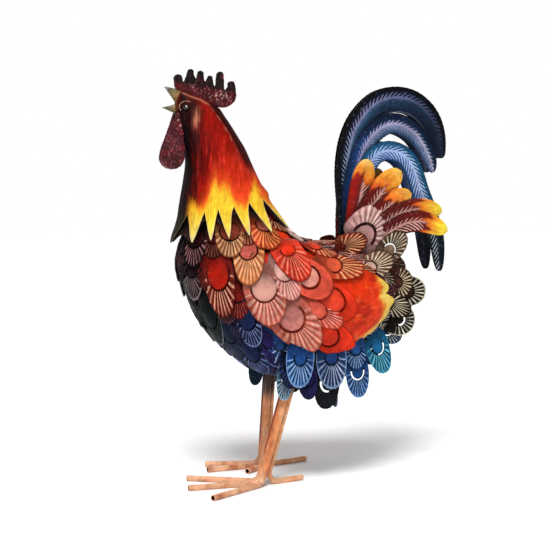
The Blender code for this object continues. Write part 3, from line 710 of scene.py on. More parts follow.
# ---------------------------------------------------- scales over the body
def flank_scales():
    """Rows of the left flank, from under the cape to the rump."""
    h = Heap()
    dark = ("#35100f", "#16080a", "#b07a78", None)
    places = []

    def put(c, t, w, cols, **kw):
        places.append(laid(h, c, t, w, cols, **kw))

    put((178, 252), (175.5, 281), 13, ("#150a0c", "#0d0708", "#4a3438", None), wing=False, tilt=1.0)
    put((186, 245), (183, 272), 18, ("#1c0b0d", "#12080a", "#5c3a40", None), wing=False, base=0.6)
    put((197.2, 238.5), (195.6, 266.7), 25, ("#2c0d10", "#1a090c", "#b57a80", None), wing=False,
        base=1.6)
    put((214, 236), (214, 259), 24, ("#4a1410", "#32100c", "#8c4a3a", None), base=0.5, wing=False)
    put((229.7, 231.5), (230.8, 258.6), 28, ("#8a3524", "#a8683e", "#efbb8e", None), base=2.0,
        wing=False)
    put((246, 226), (246, 247), 26, ("#b0402e", "#6a1c10", "#d88a60", None), base=0.5, wing=False)
    put((262.8, 225.5), (267.2, 253.7), 31, ("#cc6a58", "#b8401c", "#f79a58", None), base=1.4,
        eye=(9.5, 8.5))
    put((281, 236), (289, 258), 26, ("#e23a18", "#cf2c12", "#ea5a34", None), base=0.6, slotted=False,
        ribs=0.2)
    put((192.9, 272), (197.2, 298.5), 25, ("#241014", "#120a0e", "#8d7276", "#9a8084"), base=1.0,
        wing=False, eye=(6, 5))
    put((207, 262), (208, 290), 22, ("#5a1210", "#3c0c0c", "#6e2420", None), base=0.3, wing=False)
    put((218.5, 273.5), (227, 315.5), 30, ("#ac1a0c", "#6a1c14", "#e4a688", None), base=2.4,
        eye=(11.5, 17.5), root=36, wing=False)
    put((247.6, 250.5), (248.6, 286.2), 29, ("#cf5e52", "#c4703e", "#f4c090", None), base=1.9,
        eye=(9.5, 11.5), root=26)
    put((284, 254), (301, 283), 33, ("#e8341a", "#d83a26", "#f58a70", None), base=2.6, ribs=0.35,
        eye=(8, 7), slotted=False)
    put((238, 292), (240, 318), 24, ("#7a1814", "#5c1010", "#a84438", None), base=0.2, wing=False)
    put((263, 287.5), (271, 323), 38, ("#d49a8c", "#c8604e", "#f0bcaa", None), base=1.6,
        eye=(13, 14.5), root=26)
    put((305, 279), (327, 293), 34, ("#e39484", "#de4a32", "#e4553a", None), base=2.2,
        eye=(10.5, 11.5), root=32, ribs=0.1, slot=2.2, smooth=True)
    put((281, 272), (292, 300), 26, ("#dca79c", "#c8746a", "#f3cabb", None), base=0.8)
    put((289.5, 316.5), (312.5, 345.5), 40, ("#d08078", "#cc6450", "#f0b09c", None), base=1.8,
        eye=(12.5, 14), root=28, slot=2.1)
    put((329, 300), (350, 313), 32, ("#e8452c", "#e0341a", "#e8492e", None), base=1.7,
        eye=(11, 14), ribs=0.1, slot=2.0, smooth=True)
    put((313, 309), (338, 322), 24, ("#e2604c", "#cf4a38", "#f4a594", None), base=0.7)
    put((325, 333), (347, 346), 30, ("#e0351c", "#dc3017", "#e8442a", None), base=1.5,
        eye=(10, 12), ribs=0.1, slot=1.6, smooth=True)
    put((330, 269), (358.5, 272.5), 27, ("#e05a3a", "#b03a20", "#efb27c", None), base=2.0,
        eye=(8, 9))
    put((310, 250), (334, 261), 22, ("#d8402a", "#a83420", "#eaa878", None), base=0.8)
    put((313, 238), (341, 239.5), 15, ("#8a2416", "#7a2414", "#e0a070", None), base=0.5, wing=False)
    put((300, 236), (318, 247), 18, ("#a82c1c", "#8a2014", "#d07850", None), base=0.3, wing=False)
    put((285, 231), (300.5, 246), 11, ("#ecccc2", "#c9968c", "#f4dfd4", None), base=3.2, wing=False,
        slotted=False, ribs=0.1)
    put((293, 233), (306, 244), 12, ("#120a0a", "#0c0707", "#2a1c1c", None), base=1.2, wing=False,
        slotted=False, ribs=0.1)
    # lower breast, black to navy
    put((190, 298), (200, 329), 20, ("#101418", "#0a0d10", "#2c3438", None), base=0.2, wing=False)
    put((196, 312), (195.5, 330), 10, ("#0c1014", "#080b0e", "#2c3438", None), base=0.8, wing=False)
    put((210, 316), (219, 345), 27, ("#0e1a1c", "#0a1214", "#243236", "#7f8c92"), base=1.4,
        wing=False, ribs=0.2)
    put((228, 330), (238, 362), 28, ("#101c34", "#0c1426", "#2c3c64", None), base=0.6, wing=False,
        ribs=0.25)
    put((236, 316), (243, 338), 24, ("#1a1428", "#120e20", "#3a3458", None), base=0.3, wing=False)
    put((247, 318), (256, 344), 24, ("#14224a", "#101a38", "#7d8cc6", "#8090c0"), base=1.6,
        wing=False)
    put((251, 349), (262.5, 378), 26, ("#122048", "#0e1a38", "#6c80bc", "#7488be"), base=1.8,
        wing=False)
    put((270, 338), (279, 364), 24, ("#241c52", "#1c1846", "#332c6c", "#7a82b8"), base=0.8,
        wing=False, ribs=0.2)
    put((241, 352), (246, 376), 20, ("#0e1426", "#0a0f1c", "#2a3350", None), base=0.3, wing=False)
    put((280, 345), (291.5, 371), 23, ("#24447c", "#1c3a72", "#b4d2f4", "#a8c6ec"), base=2.2,
        wing=False, eye=(5, 5))
    put((268, 362), (276, 386), 22, ("#14244c", "#101c3c", "#5a74b0", None), base=1.2, wing=False)
    return h, places


def skirt_scales():
    """Hanging scales of the lower flank, each replacing one hanging solid."""
    h = Heap()
    low = {k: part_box("left_lower_feather_%d" % k) for k in range(1, 6)}
    y = {k: (b[0].y + b[1].y) / 2 / MM + ORIGIN[1] / MM for k, b in low.items()}
    kw = dict(face=(-0.05, -1.0, -0.12))
    laid(h, (300, 357), (299, 387.5), 28, ("#1c4684", "#184078", "#9cc4ee", "#88b0e0"),
         plane=y[2] - 1.5, eye=(6.5, 9), root=26, **kw)
    laid(h, (307, 378), (309, 399), 20, ("#1c1c50", "#1a1840", "#2c2c60", None),
         plane=y[2] + 6, ribs=0.2, root=24, slotted=False, **kw)
    laid(h, (285, 378), (283.5, 400), 17, ("#4a6a86", "#355876", "#bcd0dc", "#9cb4c4"),
         plane=y[1] + 6, eye=(3.5, 4), root=22, **kw)
    laid(h, (331, 357), (333, 388.5), 31, ("#1e3c70", "#1c3866", "#b6c8e0", "#8fa8cc"),
         plane=y[3] - 3, eye=(7, 8), root=26, **kw)
    laid(h, (327, 382), (325, 408.6), 26, ("#141a24", "#0c0f14", "#20262e", None),
         plane=y[3] + 3, eye=(6.5, 9), root=26, ribs=0.15, slot=2.4, **kw)
    laid(h, (357, 371), (359, 397), 24, ("#1c4680", "#1a3e74", "#86aede", "#5c88bc"),
         plane=y[4] - 1, eye=(6.5, 8.5), root=24, slot=1.8, **kw)
    laid(h, (355, 349), (357, 369), 22, ("#26508e", "#1e4276", "#8fb0d4", None),
         plane=y[4] - 4, eye=(6, 6), root=20, **kw)
    laid(h, (376.5, 345), (384.5, 372.5), 25, ("#1c6494", "#165a7c", "#6ebcc8", "#3c8ca4"),
         plane=y[5] - 1, eye=(6.5, 10), root=24, slot=1.7, **kw)
    laid(h, (344, 352), (343, 376), 22, ("#16244a", "#121e40", "#4a64a0", None),
         plane=y[4] + 5, ribs=0.3, root=22, **kw)
    laid(h, (318, 356), (318, 380), 22, ("#16244a", "#121e40", "#4a64a0", None),
         plane=y[3] + 6, ribs=0.3, root=22, **kw)
    laid(h, (368, 340), (370, 364), 22, ("#16305c", "#122850", "#4a70a8", None),
         plane=y[5] + 5, ribs=0.3, root=22, **kw)
    laid(h, (290, 362), (291, 388), 22, ("#121c3c", "#0e1630", "#3c508c", None),
         plane=y[2] + 9, ribs=0.3, root=24, **kw)
    return h


def rump_scales(side):
    """Broad scales behind the wing, pointing up, back and down; the topmost
    one is slimmer on the right side."""
    h = Heap()
    box = {k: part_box("left_rump_feather_%d" % k) for k in range(1, 5)}
    y = {k: (b[0].y + b[1].y) / 2 / MM + ORIGIN[1] / MM for k, b in box.items()}
    slim = side == "right"
    laid(h, (372, 238) if slim else (363, 237), (390, 210) if slim else (386, 208),
         24 if slim else 46, ("#c69490", "#bd8a84", "#e8c6be", None),
         plane=max(y[1] + 7, -31), eye=(7, 10) if slim else (11, 15), root=16,
         slot=1.8 if slim else 3.0, face=(-0.1, -1, 0.25), curl=3)
    laid(h, (346, 246.5) if slim else (342.5, 247.2), (360, 242) if slim else (366, 238.6),
         14 if slim else 24, ("#8e2c1a", "#7c2a18", "#f0b080", None),
         plane=max(y[1], -38), eye=(2, 2.4), root=5 if slim else 8, slotted=False,
         face=(-0.1, -1, 0.2), curl=1.5)
    laid(h, (388, 251), (405, 234), 27, ("#8a7058", "#4c3426", "#efe4c8", None),
         plane=y[2] + 5, eye=(6.5, 8), root=20, slot=1.8, face=(0.1, -1, 0.1))
    laid(h, (369, 268.5), (393, 257), 28, ("#e0b4a0", "#5a3424", "#f4e2c0", None),
         plane=y[2] - 5, eye=(7.5, 8), root=18, face=(0.05, -1, 0.15), curl=2)
    laid(h, (396, 282), (413, 285.5), 32, ("#4c2a22", "#40261c", "#f0dcb0", None),
         plane=y[3] - 2, eye=(5.5, 6.5), root=16, face=(0.2, -1, 0), curl=3)
    laid(h, (404, 291), (424.6, 291), 32, ("#2c1e16", "#16100c", "#efe6cc", "#d8d0b8"),
         plane=y[3] + 5, eye=(9, 11), root=18, slotted=False, face=(0.1, -1, 0))
    laid(h, (384, 262), (404, 270), 26, ("#4a2c20", "#3a2018", "#b89878", None),
         plane=y[3] + 9, eye=(6, 7), root=18, face=(0.1, -1, 0))
    laid(h, (396, 318.5), (413.5, 323), 33, ("#18120e", "#120e0c", "#f2ead4", "#e8e0c8"),
         plane=y[4] + 2, eye=(6.5, 8.5), root=20, slot=2.4, face=(0.1, -1, 0))
    laid(h, (388, 303), (410, 311), 25, ("#30201a", "#1e1410", "#d8cca8", None),
         plane=y[4] - 3, eye=(4, 5), root=16, face=(0.1, -1, 0))
    laid(h, (386, 330), (400, 338), 24, ("#123a5c", "#102c48", "#c8d8dc", None),
         plane=y[4] + 7, eye=(5, 6), root=18, face=(0.1, -1, 0))
    return h


def zone_paint(P, k):
    """Paint for scales that the view doesn't show, in keeping with their place."""
    x, z = P[0] / MM, P[2] / MM
    nudge = (k * 0.618) % 1.0
    if z > 225 and x > -40:
        if x > 95:
            return ("#3e2418", "#2a1810", "#e8d8b4", None)
        return [("#8a2418", "#641810", "#e2a47a", None), ("#b8301c", "#7a1c12", "#f0b088", None),
                ("#6a1c14", "#45120e", "#d8988a", "#caa096")][int(nudge * 3)]
    if z > 190:
        return [("#240a0d", "#120709", "#5c3a40", None),
                ("#340d0f", "#1c080a", "#764440", "#5a3e44")][int(nudge * 2)]
    if x > 95:
        return ("#18120e", "#110d0b", "#dcd4bc", None)
    return [("#122046", "#0d1834", "#5c74b0", "#6a80b4"), ("#1a3a70", "#14305c", "#86a8dc", None),
            ("#0e141c", "#0a0e14", "#3a4c64", None)][int(nudge * 3)]


def fill_scales(taken):
    """Staggered rows over the rest of the shell: breast middle, back, belly."""
    h = Heap()
    k = 0
    for row, s in enumerate(np.arange(0.9, 10.9, 0.86)):
        count = int(round(2 * math.pi * (splines(BODY, s)[4] + 8) / 27))
        for j in range(count):
            th = 2 * math.pi * (j + 0.5 * (row % 2)) / count
            P = ovals(BODY, s, th)
            if min(np.linalg.norm(P - t) for t in taken) < 0.0215:
                continue
            k += 1
            D = ovals(BODY, s + 0.05, th) - P
            _, N = nearest(P + (P - HEART) * 0.01)
            jit = RNG.uniform(-1, 1, 3)
            D = unit(D) + 0.08 * jit[0] * unit(np.cross(N, D))
            cols = [lin(c) if c else None for c in zone_paint(P, k + row * 3)]
            scale(h, P, N, D, 27 + 2 * jit[1], 30 + 1.5 * jit[2], root=20, tint=cols,
                  base=0.25 + 0.5 * (j % 2), slope=3.6, eye=(7, 8), slotted=k % 3 != 0,
                  hang=22, tilt=0.4 * jit[0])
    return h


def under_shell():
    """The dark sheet body that the scales are welded to."""
    h = Heap()
    ns, nt = 90, 120
    ss = np.linspace(0.06, 11.9, ns)
    ths = np.linspace(0, 2 * math.pi, nt, endpoint=False)
    wave = 0.35 * np.sin(ss[:, None] * 7.0) - 0.5
    grid = ovals(BODY, ss[:, None], ths[None, :], wave + 0 * ths[None, :])
    first = ovals(BODY, 0.0, np.array([0, math.pi])).mean(0)[None]
    last = ovals(BODY, 12.0, np.array([0.0]))
    v = np.concatenate([grid.reshape(-1, 3), first, last])
    i, j = np.meshgrid(np.arange(ns - 1), np.arange(nt), indexing="ij")
    i, j = i.ravel(), j.ravel()
    k = (j + 1) % nt
    quads = np.stack([i * nt + j, i * nt + k, (i + 1) * nt + k, (i + 1) * nt + j], 1)
    c = np.arange(nt)
    d = (c + 1) % nt
    top, end = ns * nt, ns * nt + 1
    tris = np.concatenate([np.stack([np.full(nt, top), d, c], 1),
                           np.stack([np.full(nt, end), (ns - 1) * nt + c, (ns - 1) * nt + d], 1)])
    z = v[:, 2] / MM
    tint = mix(np.tile(lin("#0b0f1a"), (len(v), 1)), np.tile(lin("#1e0909"), (len(v), 1)),
               step(150, 200, z))
    h.add(v, quads, tris, tint, tint * 1.8)
    return h


# ------------------------------------------------------------ neck and cape
def cape_columns():
    """Angles with the drop of the hem and the place across a hackle (-1..1)."""
    marks = []
    for k, tip in enumerate(TIPS):
        marks.append((tip, 1))
        if k < len(NOTCHES):
            marks.append((NOTCHES[k], 0))
    full = marks + [(360 - a, d) for a, d in marks[-2:0:-1]]
    full.append((360, 1))
    out = []
    for (a, da), (b, db) in zip(full, full[1:]):
        n = max(6, int(round((b - a) * 1.15)))
        for i in range(n):
            f = i / n
            x = da + (db - da) * f
            out.append((math.radians(a + (b - a) * f), HACKLE_REACH * x ** 0.88, 1 - x))
    return np.array(out)


FRONT_EDGE = ((95, 177), (108, 175), (120, 177), (135, 182), (150, 185), (165, 185), (180, 184),
              (195, 182), (210, 179), (225, 176), (243, 170))
BACK_EDGE = ((95, 200), (108, 213), (120, 222), (134, 231), (150, 239), (164, 246), (178, 253),
             (190, 259), (203, 266), (217, 273), (230, 279))
FLAME = ((168, 214), (176, 212), (183, 211), (189, 199), (194, 205), (199, 211), (206, 206),
         (211, 190), (215.6, 180), (219, 190), (223, 187), (229, 191), (234, 201), (240, 206),
         (246, 207), (250, 196), (254.7, 182), (259, 192), (264, 199), (270, 203), (280, 208))


def neck_paint(v):
    """Brushed paint that runs from near black in front through red into
    yellow flames and pale points, the same on both sides."""
    p = v.copy()
    p[:, 1] = -np.abs(p[:, 1])
    px = project(p)
    X, Y = px[:, 0], px[:, 1]
    xf = np.interp(Y, *zip(*FRONT_EDGE))
    xb = np.interp(Y, *zip(*BACK_EDGE))
    u = (X - xf) / (xb - xf)
    q = np.stack([X * 0.30, Y * 0.045, p[:, 1] * 40], 1)
    n1 = np.array([noise.fractal(Vector(a), 1.0, 2.0, 3) for a in q])
    q2 = np.stack([X * 0.75 + 9, Y * 0.09, p[:, 1] * 80], 1)
    n2 = np.array([noise.fractal(Vector(a), 1.0, 2.0, 2) for a in q2])
    q3 = np.stack([X * 0.12 + 3, Y * 0.07 + 5, p[:, 1] * 20], 1)
    n3 = np.array([noise.fractal(Vector(a), 1.0, 2.0, 2) for a in q3])
    uu = u + 0.07 * n1 + 0.05 * n2
    upper = ramp(uu, ((-0.1, lin("#0d0404")), (0.14, lin("#170606")), (0.27, lin("#340604")),
                      (0.42, lin("#6e0b06")), (0.62, lin("#8e1108")), (0.85, lin("#981409")),
                      (1.05, lin("#5e0f0a"))))
    lower = ramp(uu, ((-0.1, lin("#100505")), (0.10, lin("#210606")), (0.20, lin("#6a0c06")),
                      (0.36, lin("#a41307")), (0.55, lin("#c8200b")), (0.75, lin("#d63216")),
                      (0.95, lin("#c83018")), (1.06, lin("#9c2414"))))
    col = mix(upper, lower, step(135, 192, Y + 6 * n1))
    # orange glow above the flames
    yt = np.interp(X, *zip(*FLAME)) + 5.5 * n2 + 2.0 * n1
    glow = step(-26, 2, Y - yt) * step(0.12, 0.32, u)
    col = mix(col, np.tile(lin("#ee5a1e"), (len(v), 1)), 0.62 * glow)
    glow = step(-8, 3, Y - yt) * step(0.06, 0.16, u)
    col = mix(col, np.tile(lin("#f39a20"), (len(v), 1)), 0.85 * glow)
    yellow = ramp(Y + 5 * n3, ((195, lin("#f5bd2c")), (214, lin("#f7cc34")), (230, lin("#efd058")),
                               (242, lin("#e0cf86"))))
    col = mix(col, yellow, step(-1, 7, Y - yt) * step(0.07, 0.2, u))
    # brush strokes darken and lighten along the neck
    col = col * (1 + 0.30 * n2 + 0.16 * n1)[:, None]
    pale = step(0.30, 0.75, n2) * step(120, 190, Y) * step(0.3, 0.5, u) * (1 - step(-6, 4, Y - yt))
    col = mix(col, np.tile(lin("#f4685a"), (len(v), 1)), 0.28 * pale)
    # olive and grey first hackle at the breast
    front = (1 - step(0.05, 0.16, u)) * step(212, 226, Y)
    col = mix(col, np.tile(lin("#2c2a1a"), (len(v), 1)), 0.7 * front)
    # face: deep maroon round the eye, brown crown, a pink earlobe patch that is also a painted highlight
    # on the cheek, tan brow line
    face = (1 - step(112, 130, Y + 4 * n3)) * (1 - step(193, 206, X - 0.25 * (Y - 100)))
    col = mix(col, mix(np.tile(lin("#1c0706"), (len(v), 1)), np.tile(lin("#4a1409"), (len(v), 1)),
                       step(-0.1, 0.5, n1) * (1 - step(100, 112, Y))), 0.88 * face)
    gape = (1 - step(176.4, 179.2, X + 1.5 * n2)) * step(88, 92, Y) * (1 - step(108, 113, Y))
    col = mix(col, np.tile(lin("#7a3c1c"), (len(v), 1)), 0.7 * gape)
    earlobe_and_highlight = np.exp(-(((X - 196.4 - 0.12 * (118 - Y)) / 2.6) ** 2 + ((Y - 118.5) / 7.5) ** 2))
    col = mix(col, np.tile(lin("#c87a5e"), (len(v), 1)),
              np.clip(1.5 * earlobe_and_highlight * (0.55 + 0.9 * n2), 0, 1) * 0.9)
    brow = np.interp(X, (181, 190, 200, 211, 222), (91, 95, 98.5, 104.5, 114))
    line = np.exp(-((Y - brow - 1.2) / 1.0) ** 2) * step(180, 184, X) * (1 - step(206, 214, X))
    col = mix(col, np.tile(lin("#b8705c"), (len(v), 1)), 0.75 * line)
    # a thin painted highlight along the nape edge, then a dark outline
    tone_and_highlight = step(0.93, 0.955, u) * (1 - step(0.965, 0.985, u)) * step(104, 118, Y) \
        * (1 - step(172, 196, Y))
    col = mix(col, np.tile(lin("#c98a74"), (len(v), 1)), tone_and_highlight * (1 - step(128, 160, Y))
              * np.clip(0.2 + 1.1 * n1, 0, 0.55))
    col = mix(col, np.tile(lin("#1a0706"), (len(v), 1)), 0.8 * step(0.972, 1.0, u)
              * step(98, 108, Y) * (1 - step(158, 178, Y)))
    return np.clip(col, 0.002, 1), u, n1, n2, X, Y


def neck_piece():
    cols = cape_columns()
    th, drop, across = cols.T
    nt = len(th)
    rows = np.concatenate([np.linspace(0.06, 11.0, 118), np.linspace(0, 1, 26)[1:] + 100])
    grid, lifts = [], []
    tongue = (1 - across ** 2)
    for r in rows:
        if r < 100:
            s = np.full(nt, r)
            f = step(9.5, 11.0, r)
        else:
            s = 11.0 + (r - 100) * (HEM + drop - 11.0)
            f = 1.0
        lift = 0.9 * f * tongue - 0.25 * f
        lift = lift + 0.12 * np.sin(th * 34 + 2.0 * np.sin(s * 0.9)) * step(1.5, 5, s)
        grid.append(ovals(NECK, s, th, lift))
        lifts.append(s)
    grid = np.array(grid)
    # brow ridge, eye socket and cheek worked into the head
    socket = np.array([-107.5, -15.5, 420.0]) * MM
    q = grid.copy()
    side = np.where(q[..., 1] > 0, 1.0, -1.0)
    q[..., 1] = -np.abs(q[..., 1])
    d = np.linalg.norm(q - socket, axis=-1) / MM
    dent = -1.6 * np.exp(-(d / 5.4) ** 2) + 0.35 * np.exp(-((d - 7.6) / 1.8) ** 2)
    cheek = 0.8 * np.exp(-(np.linalg.norm(q - np.array([-98, -18, 408]) * MM, axis=-1)
                           / MM / 6.0) ** 2)
    grid[..., 1] += side * (dent + cheek) * MM * step(0.6, 2.0, np.abs(q[..., 1]) / MM / 4)
    nr = len(rows)
    inner_rows = np.linspace(1, 0, 10)
    inner = []
    for f in inner_rows:
        s = 10.4 + f * (HEM + drop - 10.4)
        inner.append(ovals(NECK, s, th, -CAPE_WALL + 0.2 * tongue))
    inner.append(ovals(NECK, 9.9, th, -CAPE_WALL - 2.0))
    inner = np.array(inner)
    top = ovals(NECK, 0.0, np.array([0, math.pi])).mean(0) + np.array([0, 0, 0.0006])
    last = inner[-1].mean(0) + np.array([0, 0, 0.004])
    allr = np.concatenate([grid, inner])
    n_rows = len(allr)
    v = np.concatenate([allr.reshape(-1, 3), top[None], last[None]])
    i, j = np.meshgrid(np.arange(n_rows - 1), np.arange(nt), indexing="ij")
    i, j = i.ravel(), j.ravel()
    k = (j + 1) % nt
    quads = np.stack([i * nt + j, i * nt + k, (i + 1) * nt + k, (i + 1) * nt + j], 1)
    c = np.arange(nt)
    d2 = (c + 1) % nt
    tris = np.concatenate([np.stack([np.full(nt, n_rows * nt), d2, c], 1),
                           np.stack([np.full(nt, n_rows * nt + 1), (n_rows - 1) * nt + c,
                                     (n_rows - 1) * nt + d2], 1)])
    colour, u, n1, n2, X, Y = neck_paint(v)
    # pale rims on the points, olive-grey ones at the front
    edge = np.zeros(len(v))
    for m, r in enumerate(rows):
        if r >= 100:
            edge[m * nt:(m + 1) * nt] = step(0.90, 1.0, (r - 100)) * 0.65
    colour = mix(colour, np.tile(lin("#d8cfa8"), (len(v), 1)), edge * step(0.08, 0.2, u))
    colour = mix(colour, np.tile(lin("#6d6a58"), (len(v), 1)), edge * (1 - step(0.08, 0.2, u)))
    turn = np.abs((np.degrees(th) + 180) % 360 - 180)
    last_tongue = np.concatenate([
        (1 - step(15.6, 18.0, turn)) * step(10.2, 10.9, lift_s) for lift_s in lifts])
    last_tongue = np.concatenate([last_tongue, np.zeros(len(v) - len(last_tongue))])
    colour = mix(colour, np.tile(lin("#140808"), (len(v), 1)), 0.94 * last_tongue)
    inside = np.arange(len(v)) >= nr * nt
    inside[-2] = False
    colour[inside] = lin("#1a0807")
    h = Heap()
    rib = np.clip(colour * 1.5 + 0.02, 0, 1)
    h.add(v, quads, tris, colour, rib)
    return h


def under_hackles():
    """A dark second layer of hackles, all round under the cape's notches."""
    cols, rows = 300, 22
    th = 2 * math.pi * np.arange(cols) / cols
    point = 1 - np.abs(np.sin(th * 9.5 / 2 + 0.6))
    low = 12.05 + 0.5 * step(0.62, 0.86, -np.cos(th)) + 0.85 * step(0.70, 0.93, np.cos(th))
    rings = []
    for lift, order in ((-3.0, np.linspace(0, 1, rows)), (-4.1, np.linspace(1, 0, rows))):
        for f in order:
            rings.append(ovals(NECK, 10.3 + f * (low + 0.35 * point - 10.3), th, lift))
    v = np.array(rings).reshape(-1, 3)
    n = 2 * rows
    i, j = np.meshgrid(np.arange(n), np.arange(cols), indexing="ij")
    i, j = i.ravel(), j.ravel()
    k, m = (j + 1) % cols, (i + 1) % n
    quads = np.stack([i * cols + j, i * cols + k, m * cols + k, m * cols + j], 1)
    f = np.repeat(np.concatenate([np.linspace(0, 1, rows), np.linspace(1, 0, rows)]), cols)
    tint = ramp(f, ((0, lin("#0c0405")), (0.85, lin("#120708")), (1, lin("#3a2624"))))
    h = Heap()
    h.add(v, quads, np.zeros((0, 3), int), tint, tint * 1.6)
    return h


# ------------------------------------------------------------ long feathers
def fanned(points, depth, spread, flare=0.0):
    out = []
    for x, z in points:
        r = math.hypot(x - TAIL_ROOT[0], z - TAIL_ROOT[1])
        hang = min(max((330 - z) / 60, 0), 1) if x > 150 else 0
        out.append((x, -(depth + spread * r + flare * hang), z))
    return np.array(out, float) * MM


def leafy(wide, base, full, tip, sharp, power, t):
    rise = base + (1 - base) * np.sin(np.clip(t / full, 0, 1) * math.pi / 2)
    u = np.clip((t - full) / (1 - full), 0, 1)
    fall = tip + (1 - tip) * (1 - u ** power) ** sharp
    return wide * np.where(t < full, rise, fall)


def feather(heap, points, wide_a, wide_b, shape, paint, n=150, m=12, pitch=4.2, slant=1.1,
            barbs=0.28, camber=1.6, ridge=0.9, thick=1.0, teeth=0.015, ripple=0.5, seed=0.0,
            face=(0, -1.0, 0)):
    """A long cut feather: a raised quill, slanting pressed barbs on both vanes,
    a slightly toothed edge and a bowed section."""
    mid, length = curve(points, n)
    t = np.linspace(0, 1, n)
    run = np.gradient(mid, axis=0)
    run = unit(run)
    f = np.tile(np.array(face, float), (n, 1))
    across = unit(np.cross(f, run))
    out = np.cross(run, across)
    if out[n // 2] @ np.array(face) < 0:
        out = -out
    half = np.sin(np.linspace(0, math.pi / 2, m + 1)[1:]) ** 0.9
    vs = np.concatenate([half[::-1], [0.0], -half])
    T, V = np.meshgrid(t, vs, indexing="ij")
    wa = leafy(wide_a, *shape, T)
    wb = leafy(wide_b, *shape, T)
    W = np.where(V > 0, wa, wb)
    S = T * length / MM
    phase = (S + 0.0) / pitch - np.abs(V) * W * slant / pitch
    saw = (phase % 1.0)
    W = W * (1 + teeth * (saw - 0.5) * (np.abs(V) ** 3) * 2 * step(0.03, 0.12, T))
    wave = 0.5 + 0.5 * np.cos(2 * math.pi * phase)
    a = np.abs(V)
    lift = (ridge * np.exp(-(V * W / 0.9) ** 2) * (1 - 0.6 * T)
            + barbs * wave * step(0.08, 0.25, a) - camber * a ** 2
            + ripple * np.sin(S / 17.0 + seed) * a)
    base = mid[:, None] + across[:, None] * (V * W)[..., None] * MM
    front = base + out[:, None] * (lift + thick / 2)[..., None] * MM
    back = base + out[:, None] * (lift * 0.8 - thick / 2)[..., None] * MM
    nv = len(vs)
    v = np.concatenate([front.reshape(-1, 3), back.reshape(-1, 3)])
    off = n * nv
    i, j = np.meshgrid(np.arange(n - 1), np.arange(nv - 1), indexing="ij")
    i, j = i.ravel(), j.ravel()
    a0 = i * nv + j
    q = [np.stack([a0, a0 + 1, a0 + nv + 1, a0 + nv], 1),
         np.stack([off + a0, off + a0 + nv, off + a0 + nv + 1, off + a0 + 1], 1)]
    k = np.arange(n - 1)
    for e in (0, nv - 1):
        b0 = k * nv + e
        w = np.stack([b0, b0 + nv, off + b0 + nv, off + b0], 1)
        q.append(w if e == 0 else w[:, ::-1])
    k = np.arange(nv - 1)
    for e in (0, n - 1):
        b0 = e * nv + k
        w = np.stack([b0, off + b0, off + b0 + 1, b0 + 1], 1)
        q.append(w if e == 0 else w[:, ::-1])
    tint, rib, mask = paint(T, V, W, base)
    fan = np.stack([phase, mask, np.full_like(T, seed)], -1)
    tint2 = np.concatenate([tint.reshape(-1, 3), tint.reshape(-1, 3) * 0.45])
    rib2 = np.concatenate([rib.reshape(-1, 3), rib.reshape(-1, 3) * 0.6])
    fan2 = np.concatenate([fan.reshape(-1, 3), fan.reshape(-1, 3) * np.array([1, 0.25, 1])])
    heap.add(v, np.concatenate(q), np.zeros((0, 3), int), tint2, rib2, fan2)


def even(colour, like):
    return np.broadcast_to(colour, like.shape + (3,)).copy()


SICKLES = (
    ((((85, 258), (86, 300), (84.5, 348), (87.5, 376), (94.5, 398), (106, 416), (123, 430.5),
       (145, 436), (167, 432), (186, 418), (198, 397), (205, 366)), 3.0, 0.012, 0.0), 12.5, 17.5),
    ((((89, 258), (89, 300), (92, 336), (99, 364), (108, 383.5), (119, 396), (134, 404.5),
       (150, 404), (168, 394), (180, 378), (188, 362), (191, 349)), 6.4, 0.022, 0.0), 12.4, 11.5),
    ((((94, 258), (96, 300), (101, 337), (109, 359), (119, 370.5), (134, 374.4), (148, 371),
       (159, 362), (167, 347), (174, 328), (183, 304), (191.5, 275), (195.8, 234)),
      9.8, 0.032, 7.0), 11, 11.5),
)


